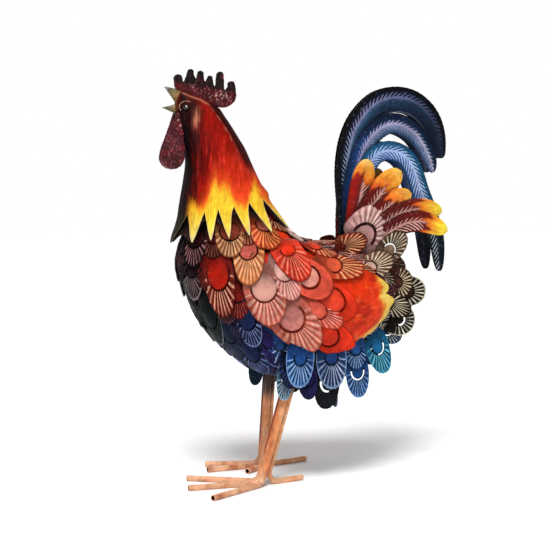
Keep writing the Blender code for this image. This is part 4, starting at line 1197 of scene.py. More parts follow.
def sickle_paint(k):
    def paint(T, V, W, P):
        side = V * 1.0
        a = np.abs(V)
        if k == 0:
            outer = ramp(a, ((0, lin("#2e3c60")), (0.16, lin("#18233f")), (0.5, lin("#0f1729")),
                             (0.72, lin("#08090d")), (1, lin("#080808"))))
            inner = ramp(a, ((0, lin("#4c6c8e")), (0.25, lin("#30506f")), (0.7, lin("#1e3858")),
                             (0.9, lin("#142440")), (0.97, lin("#8ea4b8")), (1, lin("#62788e"))))
            inner = mix(inner, even(lin("#0c1830"), T), 0.62 * step(0.46, 0.66, T))
            stroke = ramp(T, ((0, lin("#bcb0c8")), (0.3, lin("#96acc8")), (0.5, lin("#9590bc")),
                              (0.75, lin("#646a94")), (1, lin("#343c58"))))
            mask = np.where(side > 0, step(0.02, 0.08, a) * (1 - step(0.28, 0.58, a)) * 0.85,
                            0.2 * (1 - step(0.2, 0.8, a)))
            dark = step(0.70, 0.9, T) * 0.7
        elif k == 1:
            outer = ramp(a, ((0, lin("#b4b0d8")), (0.14, lin("#4c6aa8")), (0.4, lin("#1c4074")),
                             (0.85, lin("#142c54")), (1, lin("#0e1a30"))))
            inner = ramp(a, ((0, lin("#b0aecb")), (0.2, lin("#6f7ca6")), (0.6, lin("#4c6488")),
                             (0.9, lin("#2c4468")), (1, lin("#142242"))))
            stroke = ramp(T, ((0, lin("#6f9ccc")), (0.45, lin("#a9a6d4")), (0.8, lin("#b8aebe")),
                              (1, lin("#c8ccd8"))))
            mask = np.where(side > 0, step(0.02, 0.08, a) * (1 - step(0.2, 0.5, a)) * 0.9,
                            (1 - step(0.4, 0.9, a)) * 0.45)
            dark = step(0.45, 0.6, T) * step(0, 0.3, side) * 0.7
        else:
            outer = ramp(a, ((0, lin("#9fb0e4")), (0.15, lin("#4a78b4")), (0.45, lin("#1c5a80")),
                             (0.85, lin("#17486a")), (1, lin("#0e2438"))))
            inner = ramp(a, ((0, lin("#b4bcec")), (0.25, lin("#6c88cc")), (0.7, lin("#3464a4")),
                             (1, lin("#16305c"))))
            stroke = ramp(T, ((0, lin("#8fb0e8")), (0.5, lin("#b4ccf0")), (0.8, lin("#c8dcf4")),
                              (1, lin("#e8eef0"))))
            mask = np.where(side > 0, step(0.02, 0.08, a) * (1 - step(0.35, 0.7, a)),
                            step(0.02, 0.08, a) * (1 - step(0.6, 1.0, a)))
            dark = step(0.74, 0.86, T) * 0.95
            mask = mask * (1 - 0.9 * step(0.76, 0.84, T) * step(0.0, 0.2, side))
        tint = mix(inner, outer, step(-0.03, 0.03, side))
        # the quill is a fine light line
        quill = np.exp(-(V * W / 0.55) ** 2) * (1 - step(0.9, 1.0, T))
        tint = mix(tint, stroke, 0.75 * quill)
        tint = mix(tint, even(lin("#0a0c10"), T), dark)
        tint = mix(tint, even(lin("#0b1018"), T), 0.7 * (1 - step(0.12, 0.34, T)) * step(0, 0.2, side))
        return tint, stroke, mask * (1 - 0.35 * dark)
    return paint


COVERTS = (
    (((89, 250), (90, 282), (93, 303), (96, 324), (100, 346), (104, 364)), 14.5),
    (((86, 250), (93, 284), (106, 306), (117, 323), (128, 338), (142, 351)), 15.0),
    (((92, 250), (102, 281), (115, 299), (126, 310), (138, 319), (153.5, 325)), 13.0),
    (((96, 248), (112, 280), (129, 297), (147, 305), (167, 308), (188.5, 304.5)), 12.0),
    (((98, 245), (113, 270), (128, 283), (147, 292), (168, 292), (193, 281.5)), 12.0),
)


def covert_paint(k):
    gold = (lin("#f2a63a"), lin("#f4a838"), lin("#f0a040"), lin("#f7cf3c"), lin("#f9d838"))[k]
    pale = (lin("#f6d680"), lin("#f3c862"), lin("#f2b850"), lin("#f9dc48"), lin("#fae052"))[k]

    def paint(T, V, W, P):
        a = np.abs(V)
        shade = ramp(T, ((0, lin("#33080b")), (0.35, lin("#4c0e10")), (0.6, lin("#58120f")),
                         (1, lin("#7c1e10"))))
        if k == 0:
            shade = mix(shade, even(lin("#a81810"), T), 0.75 * step(0.1, 0.7, V))
        flame = ramp(T, ((0.5, lin("#8c2010")), (0.72, lin("#d8581c")), (0.8, lin("#e87a24")),
                         (1.0, gold)))
        start = (0.80, 0.74, 0.76, 0.775, 0.785)[k] + 0.04 * np.sin(V * 5 + k) \
            + 0.03 * np.sin(V * 11 + 2 * k) + (0.07 * V if k == 0 else 0)
        q = np.stack([T * 14, V * 3 + k * 7, T * 0], -1).reshape(-1, 3)
        n = np.array([noise.fractal(Vector(c), 1.0, 2.0, 3) for c in q]).reshape(T.shape)
        tipm = step(-0.03, 0.03, T - start + 0.03 * n)
        tint = mix(shade, flame, tipm)
        bright = step(0.0, 0.14, T - start - 0.05 + 0.09 * n)
        tint = mix(tint, even(gold, T), bright)
        tint = mix(tint, even(lin("#c84a18"), T), 0.6 * step(0.25, 0.6, n) * tipm
                   * (1 - step(0.86, 0.95, T)))
        tint = mix(tint, even(pale, T), step(0.90, 0.99, T) * 0.6)
        quill = np.exp(-(V * W / 0.6) ** 2) * (1 - step(0.74, 0.8, T))
        stroke = even(lin("#e6b0a6"), T)
        tint = mix(tint, stroke, 0.8 * quill)
        low = step(0.05, 0.1, -V) * (1 - step(0.72, 0.9, -V))
        high = step(0.05, 0.1, V) * (1 - step(0.3, 0.5, V)) * (0.1 if k == 0 else 0.35)
        mask = (low + high) * (1 - step(0.70, 0.77, T)) * step(0.12, 0.25, T)
        edge = step(0.86, 0.97, a) * (1 - step(0.66, 0.74, T))
        tint = mix(tint, even(lin("#2a0808"), T), 0.7 * edge)
        return tint, stroke, mask
    return paint


# --------------------------------------------------------------------- wing
def hug(x, z, lift, middle=(0.045, 0.205)):
    for k in range(60):
        f = 1 - k * 0.015
        px, pz = middle[0] + (x - middle[0]) * f, middle[1] + (z - middle[1]) * f
        hit = TREE.ray_cast(Vector((px, -0.3, pz)), Vector((0, 1, 0)))
        if hit[0] is not None and abs(hit[1].y) > 0.35:
            return np.array([x, hit[0].y - lift, z])
    return np.array([x, -lift, z])


def wing_panel():
    """A smooth panel bent over the flank with four yellow scallops behind."""
    cols, rows = 96, 64
    U, V = np.meshgrid(np.linspace(0.10, 1, cols), np.linspace(0.02, 0.99, rows), indexing="ij")
    top = splines(WING_TOP, U * (len(WING_TOP) - 1)) * MM
    low = splines(WING_LOW, U * (len(WING_LOW) - 1)) * MM
    p = top * (1 - V[..., None]) + low * V[..., None]
    arch = np.abs(np.sin(math.pi * V / 0.48)) ** 0.6
    reach = np.interp(V, (0, 0.24, 0.48, 0.72, 0.96, 1.0), (4.0, 8.5, 8.0, 13.0, 7.0, 5.0))
    p[..., 0] += step(0.84, 1.0, U) * (reach * arch - 2.0) * MM
    # the lower rear edge has shallow scallops too
    p[..., 1] -= step(0.90, 1.0, V) * step(0.6, 0.8, U) * 3.6 * MM \
        * np.abs(np.sin(math.pi * U * 11)) ** 0.6
    q = np.stack([U * 6, V * 4, U * 0], -1).reshape(-1, 3)
    n1 = np.array([noise.fractal(Vector(c), 1.0, 2.0, 3) for c in q]).reshape(U.shape)
    n2 = np.array([noise.fractal(Vector(c * 3.1 + 5), 1.0, 2.0, 3) for c in q]).reshape(U.shape)
    bulge = 0.9 * np.sin(math.pi * np.clip(V, 0, 1)) + 0.5 * n1 + 0.8 * step(0.9, 1, U) * arch
    front = np.array([[hug(p[i, j, 0], p[i, j, 1], (5.9 + bulge[i, j]) * MM) for j in range(rows)]
                      for i in range(cols)])
    back = front + np.array([0, 1.2 * MM, 0])
    v = np.concatenate([front.reshape(-1, 3), back.reshape(-1, 3)])
    off = cols * rows
    i, j = np.meshgrid(np.arange(cols - 1), np.arange(rows - 1), indexing="ij")
    a0 = (i * rows + j).ravel()
    quads = [np.stack([a0, a0 + 1, a0 + rows + 1, a0 + rows], 1),
             np.stack([off + a0, off + a0 + rows, off + a0 + rows + 1, off + a0 + 1], 1)]
    k = np.arange(cols - 1)
    for e in (0, rows - 1):
        b0 = k * rows + e
        w = np.stack([b0, b0 + rows, off + b0 + rows, off + b0], 1)
        quads.append(w if e == 0 else w[:, ::-1])
    k = np.arange(rows - 1)
    for e in (0, cols - 1):
        b0 = e * rows + k
        w = np.stack([b0, off + b0, off + b0 + 1, b0 + 1], 1)
        quads.append(w if e == 0 else w[:, ::-1])
    tint = ramp(U + 0.06 * n1, ((0, lin("#b82814")), (0.45, lin("#e03818")), (0.62, lin("#e8350e")),
                                (0.85, lin("#e23610")), (1, lin("#e4541c"))))
    tint = mix(tint, even(lin("#b41c08"), U), 0.75 * step(0.08, 0.5, n1) * step(0.5, 0.6, U))
    tint = mix(tint, even(lin("#f4602c"), U), 0.6 * step(0.15, 0.5, n2))
    tint = mix(tint, even(lin("#c0301a"), U), 0.4 * (1 - step(0.0, 0.2, V)))
    hem = U + 0.020 * n2 - 0.02 * arch
    tint = mix(tint, even(lin("#ee8426"), U), step(0.865, 0.91, hem))
    tint = mix(tint, even(lin("#f4d060"), U), step(0.89, 0.925, hem) * step(0.02, 0.1, V))
    lowhem = step(0.90, 0.96, V + 0.03 * n2) * step(0.72, 0.82, U)
    tint = mix(tint, even(lin("#f2c860"), U), 0.85 * lowhem)
    tint2 = np.concatenate([tint.reshape(-1, 3), tint.reshape(-1, 3) * 0.3])
    rib = np.clip(tint2 * 1.35 + 0.03, 0, 1)
    h = Heap()
    h.add(v, np.concatenate(quads), np.zeros((0, 3), int), tint2, rib)
    return h


# ---------------------------------------------------------------------- legs
def leg_line(top, ankle, tip):
    top, ankle, tip = (np.array(p, float) * MM for p in (top, ankle, tip))
    down = unit(ankle - top)
    toe = unit(tip - ankle)
    angle = math.acos(float(np.clip(down @ toe, -1, 1)))
    back = BEND * MM * math.tan(angle / 2)
    start, end = ankle - down * back, ankle + toe * back
    path = [top * (1 - f) + start * f for f in np.linspace(0, 1, 26)]
    wts = [0.0] * 26
    centre = ankle + unit(toe - down) * BEND * MM / math.cos(angle / 2)
    for k in range(1, 12):
        a = k / 12
        v = (start - centre) * math.sin((1 - a) * angle) + (end - centre) * math.sin(a * angle)
        path.append(centre + v / math.sin(angle))
        wts.append(a)
    for f in np.linspace(0, 1, 22):
        path.append(end * (1 - f) + tip * f)
        wts.append(1.0)
    return np.array(path), np.array(wts), down, toe


def leg_tubes():
    out = {}
    pitch = TUBE + TUBE_GAP
    for side, foot in FEET.items():
        sign = -1 if side == "left" else 1
        ax, ay = foot["ankle"]
        lx, ly = foot["lean"]
        rest = TUBE / 2
        places = dict(inner=(0, -sign * pitch), middle=(0, 0), outer=(0, sign * pitch),
                      hind=(pitch * math.hypot(1, lx / (HIP_Z - rest)), 0))
        for toe_name, (dx, dy) in places.items():
            tx, ty = foot["toes"][toe_name]
            path, wts, down, toe = leg_line((ax + lx + dx, ay + ly + dy, HIP_Z),
                                            (ax + dx, ay + dy, rest), (tx, ty, rest))
            sides = 28
            run = unit(np.gradient(path, axis=0))
            run[:25] = down
            run[-21:] = toe
            ref = toe[None] * (1 - wts[:, None]) + UP[None] * wts[:, None]
            sd = unit(np.cross(run, ref))
            ov = np.cross(sd, run)
            ang = 2 * math.pi * np.arange(sides) / sides
            ring = sd[:, None] * np.cos(ang)[None, :, None] + ov[:, None] * np.sin(ang)[None, :, None]
            r_out = TUBE / 2 * MM * 0.995
            outer = path[:, None] + ring * r_out
            # the open end: eased lip, wall and a dark bore 9 mm deep
            e, rr = path[-1], ring[-1]
            lips = [e + rr * r_out * 0.975 + toe * 0.0, e + rr * (TUBE / 2 - TUBE_WALL + 0.15) * MM]
            bore = [e - toe * d * MM + rr * (TUBE / 2 - TUBE_WALL) * MM for d in (0.5, 4, 9)]
            outer[-1] = e - toe * 0.25 * MM + rr * r_out
            rings = np.concatenate([outer, np.array(lips), np.array(bore)])
            nr = len(rings)
            v = np.concatenate([rings.reshape(-1, 3), path[:1], (e - toe * 9 * MM)[None]])
            i, j = np.meshgrid(np.arange(nr - 1), np.arange(sides), indexing="ij")
            i, j = i.ravel(), j.ravel()
            k = (j + 1) % sides
            quads = np.stack([i * sides + j, i * sides + k, (i + 1) * sides + k,
                              (i + 1) * sides + j], 1)
            c = np.arange(sides)
            d2 = (c + 1) % sides
            tris = np.concatenate([
                np.stack([np.full(sides, nr * sides), d2, c], 1),
                np.stack([np.full(sides, nr * sides + 1), (nr - 1) * sides + c,
                          (nr - 1) * sides + d2], 1)])
            q = v / MM
            n1 = fuzz(v, 0.016, (1, 1, 2.5))
            n2 = fuzz(v + 0.3, 0.005)
            tint = mix(even(lin("#e8ac84"), q[:, 0]), even(lin("#ee9a62"), q[:, 0]),
                       step(6, 22, q[:, 2]))
            tint = mix(tint, even(lin("#f8c29a"), q[:, 0]), step(0.0, 0.5, n1) * 0.6)
            tint = mix(tint, even(lin("#d2703a"), q[:, 0]), step(0.05, 0.5, -n1) * 0.7)
            tint = mix(tint, even(lin("#8e3a1c"), q[:, 0]), step(0.25, 0.6, n2) * 0.4)
            if toe_name == "hind":
                tint = mix(tint, even(lin("#f0b884"), q[:, 0]), 0.4)
            # painted shade: the tube at the left of each bundle in the view is darkened up the shank,
            # deeper on the far leg
            if toe_name == ("outer" if side == "right" else "inner"):
                deep = "#4a120e" if side == "right" else "#8a3018"
                tint = mix(tint, even(lin(deep), q[:, 0]), 0.8 * step(14, 46, q[:, 2]))
            # painted shadow of the body over the top of the legs, reaching lower on the far leg
            top = step(98, 108, q[:, 2] + 4 * n1) if side == "left" \
                else step(78, 96, q[:, 2] + 5 * n1)
            tint = mix(tint, even(lin("#2c0a0a"), q[:, 0]), top * 0.96)
            hidden = np.arange(len(v)) >= (nr - 3) * sides
            hidden[-2] = False
            tint[hidden] = lin("#120805")
            h = Heap()
            h.add(v, quads, tris, tint, np.clip(tint * 1.3 + 0.02, 0, 1))
            out["%s_leg_%s_toe" % (side, toe_name)] = h
    return out


# ------------------------------------------------------------ comb, wattles
def comb_outline():
    """Fat rounded fingers over a deep base whose rear lobe hangs free."""
    pts = [np.array((-113.2, 437.0)), np.array((-117.0, 443.5))]
    for i, (tx, tz, w, lean) in enumerate(COMB):
        tip = np.array([tx, tz])
        up = unit(np.array([lean, 1.0]))
        ov = np.array([up[1], -up[0]])
        centre = tip - up * w
        for k in range(13):
            a = math.pi * (1.06 - 1.12 * k / 12)
            pts.append(centre + ov * w * math.cos(a) + up * w * math.sin(a))
        if i < len(COMB_NOTCH):
            n = np.array(COMB_NOTCH[i])
            pts.append(n + np.array([-0.8, 0.4]))
            pts.append(n + np.array([0.8, 0.4]))
    pts += [np.array(p, float) for p in COMB_BASE]
    for k in range(1, 8):
        x = -70 - k * 5.6
        pts.append(np.array([x, 419.5 + (x + 70) * -0.22]))
    return pts


def wattle_outline():
    rows = np.array(((-113, 414.5, 3.4), (-116.0, 398, 6.5), (-117.5, 386, 9.5),
                     (-119.5, 374, 12.5), (-120.5, 364, 13.0), (-120.5, 356, 9.5)))
    fine = splines(rows, np.linspace(0, 5, 22))
    left = [np.array([x - w, z]) for x, z, w in fine]
    right = [np.array([x + w, z]) for x, z, w in fine]
    return left + [np.array([-125.5, 353.4]), np.array([-120.5, 352.6]),
                   np.array([-115.5, 353.4])] + right[::-1]


def hammered(name, outline, y0, thick, voxel, lean, paint_fn, nodes, mat, height=0.42, cell=0.0024):
    """A plate whose rims are rounded over and whose faces are beaten into
    close-set pimples; the paint function is given each pimple's height and paints highlights on the
    crowns."""
    bm = bmesh.new()
    pts = [np.array(p, float) for p in outline]
    zc = sum(p[1] for p in pts) / len(pts)
    f0 = [bm.verts.new((p[0] * MM, (y0 - thick / 2 + lean * (zc - p[1])) * MM, p[1] * MM))
          for p in pts]
    f1 = [bm.verts.new((p[0] * MM, (y0 + thick / 2 + lean * (zc - p[1])) * MM, p[1] * MM))
          for p in pts]
    bm.faces.new(f0)
    bm.faces.new(f1[::-1])
    for i in range(len(pts)):
        k = (i + 1) % len(pts)
        bm.faces.new((f0[i], f1[i], f1[k], f0[k]))
    bmesh.ops.recalc_face_normals(bm, faces=bm.faces)
    me = bpy.data.meshes.new(name + "_raw")
    bm.to_mesh(me)
    bm.free()
    raw = bpy.data.objects.new(name + "_raw", me)
    bpy.context.scene.collection.objects.link(raw)
    mod = raw.modifiers.new("r", "REMESH")
    mod.mode = "VOXEL"
    mod.voxel_size = voxel
    mod = raw.modifiers.new("s", "SMOOTH")
    mod.factor = 0.5
    mod.iterations = 14
    dg = bpy.context.evaluated_depsgraph_get()
    ev = raw.evaluated_get(dg)
    got = bpy.data.meshes.new_from_object(ev)
    n = len(got.vertices)
    co = np.zeros(n * 3)
    got.vertices.foreach_get("co", co)
    co = co.reshape(-1, 3)
    no = np.zeros(n * 3)
    got.vertices.foreach_get("normal", no)
    no = no.reshape(-1, 3)
    quads = np.array([tuple(p.vertices) for p in got.polygons if len(p.vertices) == 4])
    tris = [tuple(p.vertices) for p in got.polygons if len(p.vertices) == 3]
    bpy.data.objects.remove(raw, do_unlink=True)
    peak = np.empty(n)
    for i, p in enumerate(co):
        w = noise.noise_vector(Vector(p / 0.006)) * 0.35
        d, _ = noise.voronoi(Vector(p / cell) + w)
        peak[i] = max(0.0, 1 - d[0] / 0.55)
    peak = peak ** 0.8
    big = fuzz(co, 0.012)
    co = co + no * ((height * peak + 0.35 * big)[:, None]) * MM
    tint, rib = paint_fn(co, peak)
    h = Heap()
    h.add(co, quads, np.array(tris, int).reshape(-1, 3), tint, rib)
    return h


def comb_paint(co, peak):
    x, z = co[:, 0] / MM, co[:, 2] / MM
    n = fuzz(co, 0.010)
    base = even(lin("#4a0e14"), x)
    base = mix(base, even(lin("#150708"), x), step(441, 450, z + 0.16 * (x + 100)))
    base = mix(base, even(lin("#6a161e"), x), step(0.0, 0.5, n) * 0.7)
    # painted highlights: pale pink glints on the pimple crowns, mostly in a band across the comb, and a
    # brighter spot low on the rear
    axis = 445.0 - (x + 100) * 0.35
    band = np.exp(-((z - axis) / 5.5) ** 2) * step(-108, -98, x)
    shine = step(0.35, 0.85, peak) * np.clip(0.10 + band * (0.75 + 0.9 * n), 0, 1)
    base = mix(base, even(lin("#c98a92"), x), np.clip(shine, 0, 1) * 0.9)
    highlight_spot = np.exp(-(((x + 66) / 9) ** 2 + ((z - 433.8) / 4.0) ** 2))
    base = mix(base, even(lin("#f0c4bc"), x), np.clip(1.3 * highlight_spot * step(0.1, 0.6, peak), 0, 1) * 0.8)
    return base, np.clip(base * 1.4 + 0.02, 0, 1)


def wattle_paint(co, peak):
    x, z = co[:, 0] / MM, co[:, 2] / MM
    n = fuzz(co, 0.010)
    base = even(lin("#460f16"), x)
    base = mix(base, even(lin("#68151f"), x), step(-0.1, 0.5, n))
    # painted highlights on the pimple crowns, fewer at the side edges and towards the top
    edge = step(8, 13, np.abs(x + 120))
    shine = step(0.35, 0.85, peak) * (1 - 0.6 * edge) * (1 - 0.5 * step(392, 404, z))
    base = mix(base, even(lin("#b8808a"), x), np.clip(shine * (0.62 + 0.5 * n), 0, 1))
    return base, np.clip(base * 1.4 + 0.02, 0, 1)


# --------------------------------------------------------------- beak, eyes
def horn(base, tip, high, wide, droop, hollow_side, power=0.9, hollow=0.72):
    base, tip = np.array(base, float) * MM, np.array(tip, float) * MM
    run = tip - base
    length = np.linalg.norm(run)
    run = run / length
    side = np.array([0, 1.0, 0])
    up = np.cross(run, side)
    up = unit(up) * math.copysign(1, up[2])
    rings, ts = [], np.concatenate([[-0.12], np.linspace(0, 0.985, 26)])
    n = 32
    ang = 2 * math.pi * np.arange(n) / n
    for t in ts:
        c = base + run * length * t + up * droop * MM * max(t, 0) ** 2
        s = max(1 - max(t, 0), 0) ** power + 0.06
        hgt = high * s * np.sin(ang)
        inner = np.sign(hollow_side) * np.sin(ang) > 0
        hgt = np.where(inner, hgt * hollow, hgt)
        rings.append(c + up * hgt[:, None] * MM + side * (wide * s * np.cos(ang))[:, None] * MM)
    rings = np.array(rings)
    nr = len(rings)
    v = np.concatenate([rings.reshape(-1, 3), (base - run * length * 0.12)[None],
                        (base + run * length * 0.998 + up * droop * MM)[None]])
    i, j = np.meshgrid(np.arange(nr - 1), np.arange(n), indexing="ij")
    i, j = i.ravel(), j.ravel()
    k = (j + 1) % n
    quads = np.stack([i * n + j, i * n + k, (i + 1) * n + k, (i + 1) * n + j], 1)
    c = np.arange(n)
    d = (c + 1) % n
    tris = np.concatenate([np.stack([np.full(n, nr * n), d, c], 1),
                           np.stack([np.full(n, nr * n + 1), (nr - 1) * n + c,
                                     (nr - 1) * n + d], 1)])
    t = np.concatenate([np.repeat(ts, n), [-0.12, 1.0]])
    nz = fuzz(v, 0.004, (1, 1, 1))
    tint = ramp(t + 0.08 * nz, ((-0.1, lin("#5c2c16")), (0.25, lin("#84603a")), (0.5, lin("#847048")),
                                (0.75, lin("#625840")), (0.95, lin("#8a8a80"))))
    tint = tint * (1 + 0.35 * nz)[:, None]
    h = Heap()
    h.add(v, quads, tris, tint, np.clip(tint * 1.5, 0, 1))
    return h


def ball(centre, radius, tint, rings=18, around=28, squash=1.0, heap=None):
    a = math.pi * np.arange(1, rings) / rings
    b = 2 * math.pi * np.arange(around) / around
    c = np.array(centre, float) * MM
    g = np.stack([np.sin(a)[:, None] * np.cos(b)[None], (np.cos(a) * squash)[:, None] + 0 * b[None],
                  np.sin(a)[:, None] * np.sin(b)[None]], -1)
    v = np.concatenate([(c + g * radius * MM).reshape(-1, 3),
                        (c + np.array([0, radius * squash * MM, 0]))[None],
                        (c - np.array([0, radius * squash * MM, 0]))[None]])
    nr = rings - 1
    i, j = np.meshgrid(np.arange(nr - 1), np.arange(around), indexing="ij")
    i, j = i.ravel(), j.ravel()
    k = (j + 1) % around
    quads = np.stack([i * around + j, i * around + k, (i + 1) * around + k,
                      (i + 1) * around + j], 1)
    e = np.arange(around)
    d = (e + 1) % around
    tris = np.concatenate([np.stack([np.full(around, nr * around), d, e], 1),
                           np.stack([np.full(around, nr * around + 1), (nr - 1) * around + e,
                                     (nr - 1) * around + d], 1)])
    h = heap if heap is not None else Heap()
    tint = tint(v) if callable(tint) else tint
    h.add(v, quads, tris, tint)
    return h


def surface_y(x, z, lift):
    """Left surface of the head at (x, z), lifted."""
    hit = HEAD.ray_cast(Vector((x * MM, -0.3, z * MM)), Vector((0, 1, 0)))
    y = hit[0].y if hit[0] is not None else -0.012
    return y / MM - lift


def head_tree():
    ths = np.linspace(0, 2 * math.pi, 120, endpoint=False)
    ss = np.linspace(0.02, 6.0, 90)
    grid = ovals(NECK, ss[:, None], ths[None, :])
    faces = []
    for i in range(len(ss) - 1):
        for j in range(120):
            k = (j + 1) % 120
            faces.append((i * 120 + j, i * 120 + k, (i + 1) * 120 + k, (i + 1) * 120 + j))
    return BVHTree.FromPolygons([Vector(v) for v in grid.reshape(-1, 3)], faces)


HEAD = head_tree()


def eye_left():
    def paint(v):
        q = v / MM
        # a painted highlight: a small pale dot on the black eye, a little above and in front of its centre
        d = np.hypot(q[:, 0] + 108.0, q[:, 2] - 420.9)
        out = np.where((d < 0.85)[:, None], lin("#f0c8ba"), lin("#040303"))
        return out
    h = ball((-107.5, -15.3, 420.0), 3.5, paint, 28, 36)
    for k in range(10):
        a = math.radians(58 + k * 17.0)
        x, z = -107.3 + 6.6 * math.cos(a), 420.4 + 6.3 * math.sin(a)
        y = surface_y(x, z, 0.5)
        glow = 1.0 - 0.03 * k
        ball((x, y, z), 0.68 + 0.10 * math.sin(k * 2.3), lin("#d09a8c") * glow, 8, 12, heap=h)
    return h


# ----------------------------------------------------------------- assembly
def dress():
    scale_paint = enamel("scale_enamel", metal=0.05, rough=(0.38, 0.56), coat=0.02, specular=0.04)
    tail_paint = enamel("tail_enamel", metal=0.12, rough=(0.36, 0.54), coat=0.03, mottle=0.35,
                        stripe=(0.50, 0.84), specular=0.07)
    covert_paint_m = enamel("covert_enamel", metal=0.1, rough=(0.36, 0.54), coat=0.03, mottle=0.3,
                            stripe=(0.40, 0.66), specular=0.08)
    cape_paint = enamel("cape_enamel", metal=0.0, rough=(0.42, 0.56), coat=0.0, specular=0.04, mottle=0.26,
                        streak=(170.0, 170.0, 15.0))
    wing_paint = enamel("wing_enamel", metal=0.1, rough=(0.36, 0.5), coat=0.03, mottle=0.28,
                        specular=0.08)
    shell_paint = enamel("shell_enamel", metal=0.03, rough=(0.4, 0.6), coat=0.0, mottle=0.5,
                         specular=0.03)
    comb_paint_m = enamel("comb_enamel", metal=0.08, rough=(0.26, 0.4), coat=0.12, coat_rough=0.12,
                          mottle=0.35, specular=0.12)
    horn_paint = enamel("beak_enamel", metal=0.05, rough=(0.35, 0.55), coat=0.1, mottle=0.35)
    tube_paint = enamel("tube_copper", metal=0.12, rough=(0.3, 0.5), coat=0.2, mottle=0.3)
    eye_paint = enamel("eye_gloss", metal=0.0, rough=(0.06, 0.12), coat=1.0, coat_rough=0.03,
                       mottle=0.05)

    piece("body_under_shell", under_shell(), shell_paint, ("body_shell",), 60)
    left, places = flank_scales()
    taken = places + [p * np.array([1, -1, 1]) for p in places]
    skirt = skirt_scales()
    lower = ["lower_feather_%d" % k for k in range(1, 6)]
    rumps = ["rump_feather_%d" % k for k in range(1, 5)]
    for side in ("left", "right"):
        turn = (lambda q: q) if side == "left" else (lambda q: q.mirrored())
        piece(side + "_flank_scales", turn(left), scale_paint)
        piece(side + "_hanging_scales", turn(skirt), scale_paint,
              [side + "_" + n for n in lower])
        piece(side + "_rump_scales", turn(rump_scales(side)), scale_paint,
              [side + "_" + n for n in rumps])
    fill = fill_scales(taken)
    piece("breast_back_and_belly_scales", fill, scale_paint)

    vent = Heap()
    top = np.array([72, 0, 132.0]) * MM
    end = np.array([61.5, 0, 76.5]) * MM
    scale(vent, top * 0.55 + end * 0.45, np.array([-1.0, 0, -0.2]), end - top, 31, 30, root=34,
          tint=[lin("#141c30"), lin("#0d1322"), lin("#42587c"), lin("#5c7090")], flat=True,
          base=0, slope=1.0, eye=(6, 8), slotted=False)
    piece("vent_scale", vent, scale_paint, ("vent_feather",))

    piece("neck_and_cape", neck_piece(), cape_paint, ("neck_and_hackle_cape",), 55)

    piece("under_hackles", under_hackles(), shell_paint)

    for k, ((pts, depth, spread, flare), a, b) in enumerate(SICKLES):
        h = Heap()
        feather(h, fanned(pts, depth, spread, flare), a, b, (0.5, 0.3, 0.12, 0.5, 6.0),
                sickle_paint(k),
                n=230, m=12, pitch=(5.2, 5.0, 5.6)[k], slant=(1.15, 1.2, 1.5)[k], seed=k * 2.1)
        for side in ("left", "right"):
            piece("%s_tail_sickle_%d" % (side, k + 1), h if side == "left" else h.mirrored(),
                  tail_paint, ("%s_sickle_%d" % (side, k + 1),))
    for k, (pts, wide) in enumerate(COVERTS):
        h = Heap()
        feather(h, fanned(pts, 15.0 + 3.5 * k, 0.09 + 0.018 * k), wide, wide,
                (0.45, 0.62, 0.04, 0.5, 3.2), covert_paint(k), n=110, m=12, pitch=5.8, slant=1.5,
                seed=5 + k, barbs=0.3, camber=2.2, teeth=0.015)
        for side in ("left", "right"):
            piece("%s_tail_covert_%d" % (side, k + 1), h if side == "left" else h.mirrored(),
                  covert_paint_m, ("%s_covert_%d" % (side, k + 1),))

    panel = wing_panel()
    piece("left_wing_panel", panel, wing_paint, ("left_wing",))
    piece("right_wing_panel", panel.mirrored(), wing_paint, ("right_wing",))

    h = hammered("comb", comb_outline(), 0.0, 5.0, 0.00062, 0.0, comb_paint, (), None)
    piece("hammered_comb", h, comb_paint_m, ("comb",), 80)
    for side, y, lean in (("left", -6.0, 0.08), ("right", 6.0, -0.08)):
        h = hammered("wattle", wattle_outline(), y, 4.6, 0.00058, lean, wattle_paint, (), None)
        for bx, bz in ((-115.3, 406.2), (-112.8, 400.2)):
            ball((bx, y + math.copysign(2.5, y) + lean * (380 - bz), bz), 1.25, lin("#cfa09a"), 10, 16,
                 heap=h)
        piece(side + "_hammered_wattle", h, comb_paint_m,
              (side + "_wattle",), 80)
    piece("upper_horn", horn((-109.0, 0, 430.2), (-127.5, 0, 443.9), 9.0, 5.9, -1.2, -1, 1.0, 0.95),
          horn_paint, ("upper_beak",), 60)
    piece("lower_horn", horn((-108.0, 0, 418.8), (-131, 0, 419.3), 8.8, 5.4, 0.8, 1, 1.25, 0.95),
          horn_paint, ("lower_beak",), 60)
    eye = eye_left()
    piece("left_eye_and_lids", eye, eye_paint, ("left_eye",), 80)
    piece("right_eye_and_lids", eye.mirrored(), eye_paint, ("right_eye",), 80)
    for name, h in leg_tubes().items():
        piece(name + "_tube", h, tube_paint, (name,), 50)


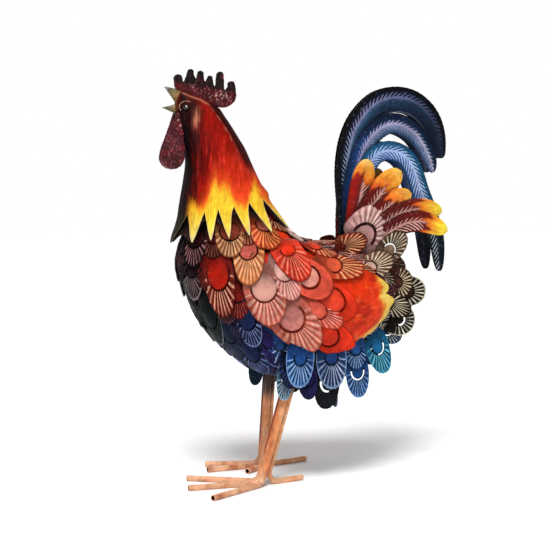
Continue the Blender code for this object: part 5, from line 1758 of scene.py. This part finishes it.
def studio():
    sc = bpy.context.scene
    me = bpy.data.meshes.new("floor")
    me.from_pydata([(-6, -6, 0), (6, -6, 0), (6, 6, 0), (-6, 6, 0)], [], [(0, 1, 2, 3)])
    floor = bpy.data.objects.new("floor", me)
    sc.collection.objects.link(floor)
    mat = bpy.data.materials.new("floor_white")
    mat.use_nodes = True
    node = mat.node_tree.nodes["Principled BSDF"]
    node.inputs["Base Color"].default_value = (0.97, 0.97, 0.97, 1)
    node.inputs["Roughness"].default_value = 0.9
    node.inputs["Specular IOR Level"].default_value = 0.1
    me.materials.append(mat)

    world = bpy.data.worlds.new("studio")
    sc.world = world
    world.use_nodes = True
    tree = world.node_tree
    bg = tree.nodes["Background"]
    bg.inputs[0].default_value = (1, 1, 1, 1)
    bg.inputs[1].default_value = 1.0
    soft = tree.nodes.new("ShaderNodeBackground")
    soft.inputs[0].default_value = (1.0, 0.985, 0.97, 1)
    soft.inputs[1].default_value = 0.36
    path = tree.nodes.new("ShaderNodeLightPath")
    both = tree.nodes.new("ShaderNodeMixShader")
    tree.links.new(path.outputs["Is Camera Ray"], both.inputs[0])
    tree.links.new(soft.outputs[0], both.inputs[1])
    tree.links.new(bg.outputs[0], both.inputs[2])
    tree.links.new(both.outputs[0], tree.nodes["World Output"].inputs["Surface"])

    def area(name, place, size, power, aim=(-0.03, 0, 0.22), colour=(1, 1, 1)):
        light = bpy.data.lights.new(name, "AREA")
        light.shape = "RECTANGLE"
        light.size, light.size_y = size
        light.energy = power
        light.color = colour
        ob = bpy.data.objects.new(name, light)
        ob.location = place
        d = Vector(aim) - Vector(place)
        ob.rotation_euler = d.to_track_quat("-Z", "Y").to_euler()
        sc.collection.objects.link(ob)

    area("front", (-0.7, -2.2, 1.0), (1.4, 1.0), 6)
    area("rim", (0.5, 1.5, 1.3), (1.0, 0.8), 8)
    sun = bpy.data.lights.new("key", "SUN")
    sun.energy = 2.68
    sun.angle = math.radians(22)
    ob = bpy.data.objects.new("key", sun)
    ob.rotation_euler = Vector((0.42, 0.95, -1.65)).to_track_quat("-Z", "Y").to_euler()
    sc.collection.objects.link(ob)

    cam = bpy.data.cameras.new("view")
    cam.lens = LENS
    cam.sensor_width = 36.0
    ob = bpy.data.objects.new("view", cam)
    ob.location = EYE - ORIGIN
    d = Vector(AIM - EYE)
    ob.rotation_euler = d.to_track_quat("-Z", "Y").to_euler()
    sc.collection.objects.link(ob)
    sc.camera = ob
    sc.view_settings.view_transform = "Standard"
    sc.view_settings.look = "None"


dress()
studio()
print("triangles", tally())
